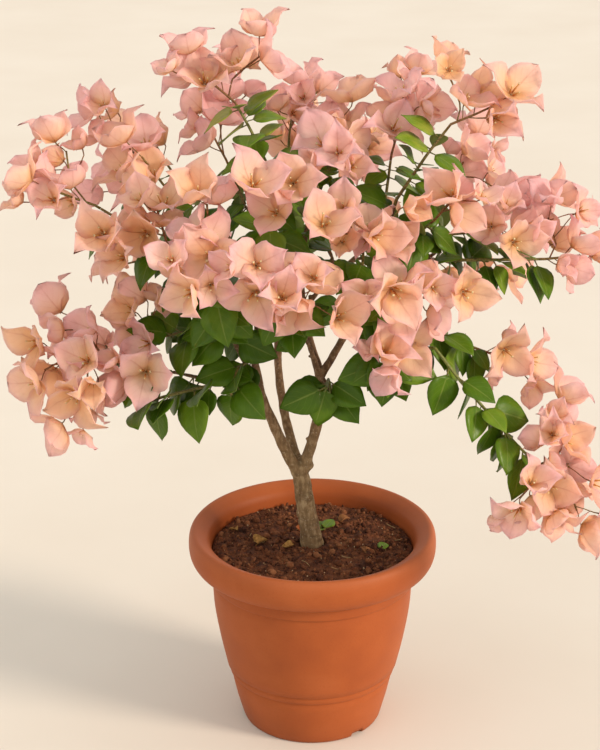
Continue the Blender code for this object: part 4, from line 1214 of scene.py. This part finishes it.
# The pot's section as smooth runs of (radius, height), which meet in crisp corners
POT_RUNS = (
    ((0, 10), (72, 10)),
    ((72, 10), (76, 11.2), (79, 16)),
    ((79, 16), (92, 55), (104, 100), (117, 190), (122, 217), (123.6, 228)),
    ((123.6, 228), (124.8, 235.4), (127.4, 241.2), (132, 245.4), (138, 248.8), (142.6, 250.6), (146.4, 249.6),
     (149.2, 244.6), (150.2, 237), (150, 228), (148, 219.4), (143.8, 212.4), (137.6, 208.4), (131, 206.8)),
    ((131, 206.8), (127.2, 205.6), (125.4, 203.2), (124.9, 199)),
    ((124.9, 199), (124.5, 193), (124.1, 189)),
    ((124.1, 189), (121.4, 187.4), (120.9, 185.6), (121.6, 183.4)),
    ((121.6, 183.4), (119.6, 150), (113.6, 112), (105.4, 74.2)),
    ((105.4, 74.2), (103.2, 72.8), (102.5, 71.2), (103.1, 69.6)),
    ((103.1, 69.6), (102.4, 66.6), (101.9, 64.2)),
    ((101.9, 64.2), (99.6, 62.6), (99.1, 61.0), (99.8, 59.2)),
    ((99.8, 59.2), (93.4, 30), (86.2, 4.0), (84.8, 1.0), (82.6, 0)),
    ((82.6, 0), (0, 0)))


def pot_section():
    """Samples the pot's runs closely, so that its turned surface is smooth."""
    section = [POT_RUNS[0][0]]
    for run in POT_RUNS:
        line = [Vector((radius, height, 0)) for radius, height in run]
        step = WALL_STEP if (line[0] - line[-1]).length > LONG_RUN else LIP_STEP
        if len(line) == 2:
            section.append(run[1])
        else:
            section += [(spot.x, spot.y) for spot in joined(smooth_path(line, step))[1:]]
    return section


def spun(bm, profile, steps):
    """Spins a profile of (radius, height) points in millimetres into a closed turned shape."""
    line = [bm.verts.new((radius * MM, 0, height * MM)) for radius, height in profile]
    edges = [bm.edges.new(pair) for pair in zip(line, line[1:])]
    bmesh.ops.spin(bm, geom=line + edges, cent=(0, 0, 0), axis=(0, 0, 1), dvec=(0, 0, 0), angle=math.tau,
                   steps=steps, use_merge=True)
    bmesh.ops.remove_doubles(bm, verts=bm.verts, dist=MERGE)
    bmesh.ops.recalc_face_normals(bm, faces=bm.faces)


def cut_away(bm, cutters):
    """Cuts closed shapes, given as bmeshes, out of bm, and returns the result as a new bmesh."""
    objects = [in_scene("cutting", kept(each)) for each in [bm] + cutters]
    for cutter in objects[1:]:
        modifier = objects[0].modifiers.new("Cut", "BOOLEAN")
        modifier.operation = "DIFFERENCE"
        modifier.object = cutter
    made = bmesh.new()
    made.from_mesh(evaluated_mesh(objects[0]))
    for each in objects:
        bpy.data.objects.remove(each)
    return made


def foot_cutters():
    """The notches across the foot and the drain holes."""
    length, width, height = scaled(FOOT_NOTCH_SIZE)
    notch_place, rounding = scaled((FOOT_NOTCH_FROM_CENTRE, NOTCH_ROUNDING))
    drain_place, drain_radius, floor = scaled((DRAIN_FROM_CENTRE, DRAIN_RADIUS, POT_FLOOR))
    cutters = []
    for angle in FOOT_NOTCH_ANGLES:
        turn = Matrix.Rotation(math.radians(angle), 4, "Z")
        notch = bmesh.new()
        bmesh.ops.create_cube(notch, size=1)
        bmesh.ops.scale(notch, verts=notch.verts, vec=(length, width, 2 * height))
        bmesh.ops.bevel(notch, geom=notch.edges[:], offset=rounding, segments=2, profile=0.5, affect="EDGES",
                        material=-1)
        drain = bmesh.new()
        bmesh.ops.create_cone(drain, cap_ends=True, segments=DRAIN_SIDES, radius1=drain_radius,
                              radius2=drain_radius, depth=3 * floor)
        for cutter, x, z in ((notch, notch_place, 0), (drain, drain_place, floor / 2)):
            bmesh.ops.translate(cutter, verts=cutter.verts, vec=(x, 0, z))
            bmesh.ops.transform(cutter, verts=cutter.verts, matrix=turn)
            cutters.append(cutter)
    return cutters


def make_pot():
    bm = bmesh.new()
    spun(bm, pot_section(), POT_SPIN_STEPS)
    # A hand-set clay pot is never quite round: its wall strays by a few tenths of a millimetre
    for vert in bm.verts:
        if vert.co.z > POT_FLOOR * MM and vert.co.xy.length > WALL_FROM * MM:
            vert.co.xy *= 1 + noise.noise(vert.co * 14) * WALL_STRAY * MM / vert.co.xy.length
    clay = tuple(bpy.context.scene.bougainvillea_pot.clay)
    look = material("terracotta", terracotta, clay)
    finished("clay_pot", cut_away(bm, foot_cutters()), [look], "terracotta", "pot")


# Soil: its outer edge, the hole for the stem, and its clods as size and height

SOIL_EDGE = 121.5
SOIL_EDGE_WIDTH = 8.0
SOIL_EDGE_DROP = 2.5
SOIL_CLODS = ((26, 3.6), (8, 1.9))
SOIL_BELOW = ((0, 10.3), (75.7, 10.3), (103.7, 100), (116.7, 190))
SOIL_RINGS = 64
SOIL_SPIN_STEPS = 190
STEM_HOLE_RADIUS = 15.9
STEM_HOLE_FLOOR = 192.0
CRUMB_REACH = 119.0
CRUMB_SIZE = 1.15
CRUMB_LARGEST = 5.2
CRUMB_SPREAD = 2.4


def soil_height(x, y):
    """How far a spot on the soil lies above its mean level, in millimetres: a soft mound with clods."""
    spot = Vector((x, y, 0))
    radius = math.hypot(x, y)
    (large, high), (small, low) = SOIL_CLODS
    clods = noise.fractal(spot / large, 1.0, 2.0, 3) * high
    clods += noise.fractal(spot / small + Vector((5, 3, 1)), 0.9, 2.1, 3) * low
    inside = bounded((SOIL_EDGE - radius) / SOIL_EDGE_WIDTH)
    mound = SOIL_MOUND * math.cos(math.pi * radius / SOIL_MOUND_REACH)
    return mound + clods * (0.35 + 0.65 * inside) - SOIL_EDGE_DROP * (1 - inside)


def on_soil(x, y, lift):
    return Vector((x, y, SOIL_TOP + soil_height(x, y) + lift)) * MM


def soil_spot(draw, reach, least):
    """Draws a place on the soil, as its distance from the middle and its x and y."""
    radius, angle = reach * math.sqrt(draw.uniform(least, 1)), draw.uniform(0, math.tau)
    return radius, radius * math.cos(angle), radius * math.sin(angle)


def tumbled(draw):
    return Euler([draw.uniform(0, math.tau) for _ in range(3)]).to_matrix()


def make_soil():
    bm = new_mesh()
    rings = [(radius, SOIL_TOP) for radius in np.linspace(SOIL_EDGE - 0.1, 17.0, SOIL_RINGS)]
    hole = [(STEM_HOLE_RADIUS, SOIL_TOP - 3), (STEM_HOLE_RADIUS, STEM_HOLE_FLOOR), (0, STEM_HOLE_FLOOR)]
    spun(bm, [*SOIL_BELOW, *rings, *hole], SOIL_SPIN_STEPS)
    for vert in bm.verts:
        x, y, z = vert.co / MM
        if z > SOIL_TOP - 0.5:
            vert.co.z = (SOIL_TOP + soil_height(x, y)) * MM
        vert[layer(bm, "tint")] = noise.noise(vert.co * 40) * 0.5
    # The bed is copied to a clean bmesh, where the crumbs' points come after its own
    bed, bm = kept(bm), new_mesh()
    stamp(bm, bed)
    draw = random.Random(21)
    crumb = ball(1)
    for _ in range(bpy.context.scene.bougainvillea_soil.crumbs):
        _, x, y = soil_spot(draw, CRUMB_REACH, 0.02)
        size = min(CRUMB_LARGEST, draw.paretovariate(CRUMB_SPREAD) * CRUMB_SIZE)
        turn = tumbled(draw)
        squash = Vector((draw.uniform(0.7, 1.3), draw.uniform(0.7, 1.2), draw.uniform(0.55, 0.95)))
        centre = on_soil(x, y, size * 0.25)
        shake = Vector((draw.uniform(0, 100), 0, 0))

        def place(co):
            rough = 1 + 0.28 * noise.noise(co * 1.7 + shake)
            return centre + turn @ (co * squash * rough * size * MM)
        stamp(bm, crumb, place, tint=draw.uniform(-0.6, 1.0))
    finished("soil_bed", bm, [material("potting_soil", potting_soil)], "soil", "soil")


# Litter on the soil: each tone of dead leaf with its dark and pale colours, and each scrap's x, y, size and
# heading in degrees
DEAD_TONES = {"tan": ("dry_leaf", "#8A6231", "#C79A58"), "rust": ("rust_leaf", "#9A4F26", "#C9793F"),
              "brown": ("brown_leaf", "#6E4728", "#A06E45")}
DEAD_LEAVES = ((-62, 4, 15, 40, "tan"), (-30, -14, 12, 200, "tan"), (-14, 36, 12, 80, "rust"),
               (66, -26, 16, 150, "brown"), (-96, 40, 13, 300, "tan"), (40, 60, 13, 20, "brown"))
FALLEN_GREEN = ((24, 28, 20, 60), (28, 36, 18, 150), (20, 40, 14, 250), (96, -20, 15, 110))
SCRAP_SCALE = 1.25
SCRAP_TIP = math.radians(-14)
SCRAP_LIFT = 1.6
STRAWS = 14
STRAW_REACH = 112.0
STRAW_CLEAR = 20.0
STRAW_STRAY = 1.5
CHIPS = 60
CHIP_REACH = 116.0


def scrap_leaf(bm, unit, x, y, size, heading, tint):
    place = Matrix.Translation(on_soil(x, y, SCRAP_LIFT)) @ Matrix.Rotation(math.radians(heading), 4, "Z")
    place = place @ Matrix.Rotation(SCRAP_TIP, 4, "Y") @ Matrix.Scale(size * SCRAP_SCALE * MM, 4)
    stamp(bm, unit, place, tint)


def curled_leaf(number):
    """A dry leaf, curled up along its midrib."""
    curl = random.Random(f"dry {number}").uniform(0.7, 1.1)

    def bend(t, s):
        wide = LEAF_HALF_WIDTH * interpolated(LEAF_SHAPE, t)
        angle = s * curl * 1.5
        height = wide * (1 - math.cos(angle)) * 1.2 + 0.10 * math.sin(5 * t + number)
        return Vector((t - 0.5, wide * math.sin(angle), height))
    return sheet((7, 4), bend, 0.03)


def make_litter(looks):
    for tone, (name, dark, pale) in DEAD_TONES.items():
        bm = new_mesh()
        for number, (x, y, size, heading, kind) in enumerate(DEAD_LEAVES):
            if kind == tone:
                scrap_leaf(bm, curled_leaf(number), x, y, size, heading, 0.5)
        finished(f"dead_leaves_{tone}", bm, [material(name, litter, dark, pale)], "leaf")
    bm = new_mesh()
    for x, y, size, heading in FALLEN_GREEN:
        scrap_leaf(bm, unit_leaf(0.1, 0.3, 40), x - size / 2, y, size, heading, 0.6)
    finished("green_leaves_on_soil", bm, leaf_looks(looks), "leaf")
    draw = random.Random(33)
    bm = new_mesh()
    fibre = unit_stem(5, 6)
    for _ in range(STRAWS):
        radius, x, y = soil_spot(draw, STRAW_REACH, 0)
        if radius < STRAW_CLEAR:
            continue
        heading, length = draw.uniform(0, math.tau), draw.uniform(5, 15)
        points = []
        for step in (-0.5, -0.15, 0.15, 0.5):
            px = x + math.cos(heading) * length * step + draw.uniform(-STRAW_STRAY, STRAW_STRAY)
            py = y + math.sin(heading) * length * step + draw.uniform(-STRAW_STRAY, STRAW_STRAY)
            points.append(on_soil(px, py, draw.uniform(0.8, 2.2)))
        wide = draw.uniform(0.35, 0.85) * MM
        stamp(bm, fibre, follow(bezier(points, 6), lambda z: wide * (1 - 0.4 * z)))
    finished("straw_on_soil", bm, [material("pale_straw", litter, "#7A6040", "#B09468")], "soil")
    bm = new_mesh()
    chip = ball(1)
    for _ in range(CHIPS):
        _, x, y = soil_spot(draw, CHIP_REACH, 0.03)
        size = draw.uniform(0.5, 1.2) * MM
        centre = on_soil(x, y, 1.2)
        turn = tumbled(draw)
        squash = Vector((draw.uniform(0.7, 1.5), 1, draw.uniform(0.4, 0.8)))
        stamp(bm, chip, lambda co: centre + turn @ (co * squash * size))
    finished("pale_grit_on_soil", bm, [material("pale_grit", litter, "#94785A", "#C4AC8C")], "soil")


# Wood

WOOD_VOXEL = 1.2
WOOD_SMOOTHING = 16
WOOD_RING_SPACING = 9
WOOD_FOOT = 192.3
KNOBS_A_LIMB = 2
KNOB_RADIUS = 2.4
KNOB_LENGTH = 3.4
COLLAR_HEIGHT = 229.0
COLLAR_REACH = 14.0

# Swellings of the trunk and stubs at its fork: place along the trunk, offset from its axis and radius
TRUNK_LUMPS = ((0.95, 1, 0, 0, 11.0), (1.0, 7, -3, -3, 8.6), (1.0, 13, -3, 0, 6.0), (1.0, -2, -4, -8, 7.8),
               (1.0, 2, -6, 0, 6.6), (1.0, 2, 5, 2, 8.0), (0.72, 5, -6, 0, 7.2), (0.55, -6, -3, 0, 7.6),
               (0.34, 6, -4, 0, 8.4), (0.12, -3, -5, 0, 10.4), (0.02, 5, -2, 0, 11.6))


def squeezed(co, across, up):
    return Vector((co.x / across, co.y / across, co.z / up))


def bark_relief(co):
    """How far the bark stands out at a point, in millimetres: furrows, ripples, rings and a collar."""
    low = 1.0 - bounded((co.z - 300) / 90)
    furrow = noise.fractal(squeezed(co, 6, 16), 1.0, 2.0, 3) * (0.34 + 0.2 * low)
    ripple = noise.noise(squeezed(co, 16, 15)) * 0.9
    ring = noise.noise(squeezed(co, 34, 3.4)) * 0.2 * low
    collar = max(0.0, 1 - abs(co.z - COLLAR_HEIGHT) / COLLAR_REACH) * 0.8 if co.xy.length < 22 else 0.0
    return furrow + ripple + ring + collar


def make_wood(plan):
    """The trunk and limbs as one skin of bark, with knobs where old shoots were cut."""
    bm = new_mesh()
    for path, radii, sides in plan.wood:
        table = spread(radii)
        smooth_stem(bm, path, WOOD_RING_SPACING, 2 * sides, lambda z: interpolated(table, z))
    lump = ball(2)
    for place, x, y, z, radius in TRUNK_LUMPS:
        centre = along(plan.wood[0][0], place)[0] + Vector((x, y, z)) * MM
        stamp(bm, lump, lambda co: centre + co * radius * MM)
    draw = random.Random(5)
    for limb in range(1, 1 + len(LIMBS)):
        for _ in range(KNOBS_A_LIMB):
            place, angle = draw.uniform(0.12, 0.7), draw.uniform(0, math.tau)
            path, radii, _ = plan.wood[limb]
            spot, tangent = along(path, place)
            side = (around(tangent, angle) + tangent * 0.35).normalized()
            tip = spot + side * (interpolated(spread(radii), place) + KNOB_LENGTH * MM)
            knob = follow([spot, spot.lerp(tip, 0.6), tip], lambda z: KNOB_RADIUS * MM * (1.25 - 0.45 * z))
            stamp(bm, unit_stem(8, 2), knob)
    wood = in_scene("wood", kept(bm))
    skin = wood.modifiers.new("Skin", "REMESH")
    skin.mode = "VOXEL"
    skin.voxel_size = WOOD_VOXEL * MM
    soften = wood.modifiers.new("Soften", "SMOOTH")
    soften.factor = 0.5
    soften.iterations = WOOD_SMOOTHING
    bm = bmesh.new()
    bm.from_mesh(evaluated_mesh(wood))
    bpy.data.objects.remove(wood)
    bm.normal_update()
    moves = [vert.normal * bark_relief(vert.co / MM) * MM for vert in bm.verts]
    for vert, move in zip(bm.verts, moves):
        vert.co += move
        vert.co.z = max(vert.co.z, WOOD_FOOT * MM)
    finished("bark_and_branches", bm, [material("bark", bark)], "bark", "trunk_and_branches")


# Leaves: the unit leaves made of each kind, and where in the canopy they turn yellower

LEAF_UNITS = 5
STEM_RING_SPACING = 8
YELLOWER_FROM = 600.0
YELLOWER_OVER = 170.0


def leaf_looks(looks):
    return [looks["leaf_blade"], looks["young_stem"]]


def put_leaves(bm, units, draw, rows, painted_shade_factor=1.0):
    """Puts leaves in place, yellower at the top of the canopy, where they are youngest; a factor below 1
    darkens them as painted shade.
    """
    for kind, place, size in rows:
        height = bounded((place.translation.z / MM - YELLOWER_FROM) / YELLOWER_OVER)
        # The factor darkens the tint as painted shade
        tint = bounded(draw.gauss(0.38 + 0.32 * height, 0.13)) * painted_shade_factor
        stamp(bm, units[kind][draw.randrange(LEAF_UNITS)], place @ Matrix.Scale(size, 4), tint)


def make_leaves(plan, looks):
    units = [[unit_leaf(*kind, number) for number in range(LEAF_UNITS)] for kind in LEAF_KINDS]
    for name, path in plan.stems.items():
        draw = random.Random("look of leaf " + name)
        bm = new_mesh()
        smooth_stem(bm, path, STEM_RING_SPACING, 7, lambda z: (2.0 - 0.5 * z) * MM, tint=0.5,
                    red=draw.uniform(0.0, 0.5), index=1)
        put_leaves(bm, units, draw, plan.leaves[name])
        finished("leafy_spray_" + name, bm, leaf_looks(looks), "leaf", "leafy_" + name)
    bm = new_mesh()
    # The inner leaves are darkened as painted shade inside the canopy
    put_leaves(bm, units, random.Random("look of inner leaves"), plan.inner_leaves, 0.8)
    finished("inner_leaves", bm, leaf_looks(looks), "leaf")


# Blooms: the unit blooms made of each kind, and how far each one nods, in degrees, about its middle

BLOOM_UNITS = 6
AXIS_RING_SPACING = 7
BLOOM_MIDDLE = Matrix.Translation((0, 0, 0.35))
BLOOM_TINT = 0.2
SPRAY_TINT = 0.12
AXIS_SLIMMER = 0.8


def make_blooms(plan, looks):
    units = [[unit_bloom(cup, number) for number in range(BLOOM_UNITS)] for cup, _ in BLOOM_KINDS]
    looks = [looks["paper_bract"], looks["floret_tube"], looks["young_stem"]]
    nodding = bpy.context.scene.bougainvillea_canopy.nod
    pedicel = unit_stem(5, 4)
    for name, lines in plan.axes.items():
        draw = random.Random("look of bloom " + name)
        bm = new_mesh()
        for path, radii, _ in lines:
            thinner = spread([radius * AXIS_SLIMMER for radius in radii])
            smooth_stem(bm, path, AXIS_RING_SPACING, 6, lambda z: interpolated(thinner, z), tint=0.5,
                        red=draw.uniform(0.35, 1.0), index=2)
        shade = draw.uniform(-SPRAY_TINT, SPRAY_TINT)
        for kind, head, size, root in plan.blooms[name]:
            unit = units[kind][draw.randrange(BLOOM_UNITS)]
            # Each bloom nods a little about its middle, as no two papery blooms hang alike
            nod = Euler([draw.uniform(-nodding, nodding), draw.uniform(-nodding, nodding), 0]).to_matrix()
            place = head @ Matrix.Scale(size, 4) @ BLOOM_MIDDLE @ nod.to_4x4() @ BLOOM_MIDDLE.inverted()
            stamp(bm, unit, place, bounded(draw.gauss(0.5 + shade, BLOOM_TINT)))
            # The pedicel leaves the axis as its solid does and meets the nodding bloom from behind
            base, neck = root.translation, place.translation
            reach = (neck - base).length
            start = base + root.to_3x3() @ UP * reach * 0.4
            axis = (place.to_3x3() @ UP).normalized()
            line = bezier([base, start, neck - axis * reach * 0.3, neck + axis * 0.5 * MM], 5)
            stamp(bm, pedicel, follow(line, lambda z: (0.62 + 0.25 * z ** 3) * MM), 0.5,
                  draw.uniform(0.5, 1.0), 2)
        finished("bloom_spray_" + name, bm, looks, "bract", "blooms_" + name)


# Stage

CAMERA_SPOT = (-0.015, -2.065, 1.246)
CAMERA_TILT = 90 - 21.11
CAMERA_LENS = 90.4
SENSOR_WIDTH = 36
GROUND_REACH = 14.0
SUN_SPOT = (6.6, -3.1, 3.4)
SUN_AIM = (0, 0, 0.45)
SUN_WIDTH = 16.0
SKY_LAMP_SPOT = (-2.6, -2.2, 2.6)
SKY_LAMP_AIM = (0, 0, 0.5)
SKY_LAMP_SIZE = 2.6


def lamp(data, spot, aim, strength, colour):
    data.energy = strength
    data.color = paint(colour)[:3]
    made = in_scene(data.name, data)
    made.location = spot
    made.rotation_euler = (Vector(aim) - Vector(spot)).to_track_quat("-Z", "Y").to_euler()


def make_stage():
    scene = bpy.context.scene
    settings = scene.bougainvillea_stage
    bm = bmesh.new()
    bmesh.ops.create_grid(bm, x_segments=8, y_segments=8, size=GROUND_REACH)
    ground = in_scene("ground", kept(bm, "ground"))
    ground.data.materials.append(material("pale_ground", pale_ground))
    camera = in_scene("camera", bpy.data.cameras.new("camera"))
    camera.data.lens = CAMERA_LENS
    camera.data.sensor_width = SENSOR_WIDTH
    camera.location = CAMERA_SPOT
    camera.rotation_euler = Euler((math.radians(CAMERA_TILT), 0, 0))
    scene.camera = camera
    sun = bpy.data.lights.new("sun_side", "SUN")
    sun.angle = math.radians(SUN_WIDTH)
    lamp(sun, SUN_SPOT, SUN_AIM, settings.key_power, "#FFECD6")
    sky = bpy.data.lights.new("sky_side", "AREA")
    sky.shape = "DISK"
    sky.size = SKY_LAMP_SIZE
    lamp(sky, SKY_LAMP_SPOT, SKY_LAMP_AIM, settings.fill_power, "#F3F1EC")
    world = bpy.data.worlds.new("soft_sky")
    world.use_nodes = True
    background = world.node_tree.nodes["Background"]
    background.inputs["Color"].default_value = paint("#F6F2EA")
    background.inputs["Strength"].default_value = settings.sky_strength
    scene.world = world
    scene.view_settings.view_transform = "Standard"
    scene.view_settings.look = "None"


# Add-on

def colour_setting(name, description, code):
    return FloatVectorProperty(name=name, description=description, default=paint(code), min=0, max=1,
                               size=4, subtype="COLOR")


class PotSettings(bpy.types.PropertyGroup):
    clay: colour_setting("Clay", "Main colour of the fired clay", "#A3542A")


class SoilSettings(bpy.types.PropertyGroup):
    crumbs: IntProperty(name="Crumbs", description="Loose crumbs on the soil", default=1500, min=0, max=4000)


class CanopySettings(bpy.types.PropertyGroup):
    bract: colour_setting("Bracts", "Main colour of the papery bracts", "#FEE5DF")
    green: colour_setting("Leaves", "Main colour of the leaves", "#527612")
    nod: FloatProperty(name="Nod", description="How far a bloom may tilt about its middle", min=0,
                       default=math.radians(27.0), unit="ROTATION", subtype="ANGLE")


class StageSettings(bpy.types.PropertyGroup):
    key_power: FloatProperty(name="Sun side", description="Strength of the warm sun", default=3.0, min=0)
    fill_power: FloatProperty(name="Sky side", description="Power of the cool lamp", default=12.0, min=0,
                              unit="POWER")
    sky_strength: FloatProperty(name="Sky", description="Strength of the even light", default=0.95, min=0)


SETTINGS = {"bougainvillea_pot": PotSettings, "bougainvillea_soil": SoilSettings,
            "bougainvillea_canopy": CanopySettings, "bougainvillea_stage": StageSettings}
worked_out = {}


def shared():
    """The plan and the materials that several operators use, made once."""
    if not worked_out:
        plan = Plan()
        fill_in(plan)
        canopy = bpy.context.scene.bougainvillea_canopy
        worked_out["plan"] = plan
        worked_out["looks"] = {"leaf_blade": material("leaf_blade", leaf_blade, tuple(canopy.green)),
                               "young_stem": material("young_stem", young_stem),
                               "paper_bract": material("paper_bract", paper_bract, tuple(canopy.bract)),
                               "floret_tube": material("floret_tube", floret_tube)}
    return worked_out["plan"], worked_out["looks"]


class OBJECT_OT_clay_pot(bpy.types.Operator):
    """Turn the clay pot with its rolled lip"""
    bl_idname = "object.clay_pot"
    bl_label = "Clay pot"

    def execute(self, context):
        make_pot()
        return {"FINISHED"}


class OBJECT_OT_potting_soil(bpy.types.Operator):
    """Lay the crumbly soil bed"""
    bl_idname = "object.potting_soil"
    bl_label = "Soil"

    def execute(self, context):
        make_soil()
        return {"FINISHED"}


class OBJECT_OT_soil_litter(bpy.types.Operator):
    """Scatter dead leaves, straw and grit on the soil"""
    bl_idname = "object.soil_litter"
    bl_label = "Litter"

    def execute(self, context):
        make_litter(shared()[1])
        return {"FINISHED"}


class OBJECT_OT_bark_and_branches(bpy.types.Operator):
    """Grow the trunk and branches"""
    bl_idname = "object.bark_and_branches"
    bl_label = "Trunk and branches"

    def execute(self, context):
        make_wood(shared()[0])
        return {"FINISHED"}


class OBJECT_OT_leafy_sprays(bpy.types.Operator):
    """Grow the leafy sprays"""
    bl_idname = "object.leafy_sprays"
    bl_label = "Leafy sprays"

    def execute(self, context):
        make_leaves(*shared())
        return {"FINISHED"}


class OBJECT_OT_bloom_sprays(bpy.types.Operator):
    """Grow the bloom sprays"""
    bl_idname = "object.bloom_sprays"
    bl_label = "Bloom sprays"

    def execute(self, context):
        make_blooms(*shared())
        return {"FINISHED"}


class SCENE_OT_plant_stage(bpy.types.Operator):
    """Set the ground, the light and the camera"""
    bl_idname = "scene.plant_stage"
    bl_label = "Stage"

    def execute(self, context):
        make_stage()
        return {"FINISHED"}


OPERATORS = (OBJECT_OT_clay_pot, OBJECT_OT_potting_soil, OBJECT_OT_soil_litter, OBJECT_OT_bark_and_branches,
             OBJECT_OT_leafy_sprays, OBJECT_OT_bloom_sprays, SCENE_OT_plant_stage)


class VIEW3D_PT_bougainvillea(bpy.types.Panel):
    """Lists the operators that build the plant, and their settings"""
    bl_idname = "VIEW3D_PT_bougainvillea"
    bl_label = "Bougainvillea"
    bl_space_type = "VIEW_3D"
    bl_region_type = "UI"
    bl_category = "Bougainvillea"

    def draw(self, context):
        for operator in OPERATORS:
            self.layout.operator(operator.bl_idname)
        for name, group in SETTINGS.items():
            for key in group.__annotations__:
                self.layout.prop(getattr(context.scene, name), key)


CLASSES = (*SETTINGS.values(), *OPERATORS, VIEW3D_PT_bougainvillea)


def register():
    for each in CLASSES:
        bpy.utils.register_class(each)
    for name, group in SETTINGS.items():
        setattr(bpy.types.Scene, name, PointerProperty(type=group))


def unregister():
    for name in SETTINGS:
        delattr(bpy.types.Scene, name)
    for each in reversed(CLASSES):
        bpy.utils.unregister_class(each)


def main():
    register()
    bpy.ops.object.clay_pot()
    bpy.ops.object.potting_soil()
    bpy.ops.object.soil_litter()
    bpy.ops.object.bark_and_branches()
    bpy.ops.object.leafy_sprays()
    bpy.ops.object.bloom_sprays()
    bpy.ops.scene.plant_stage()


if __name__ == "__main__":
    main()
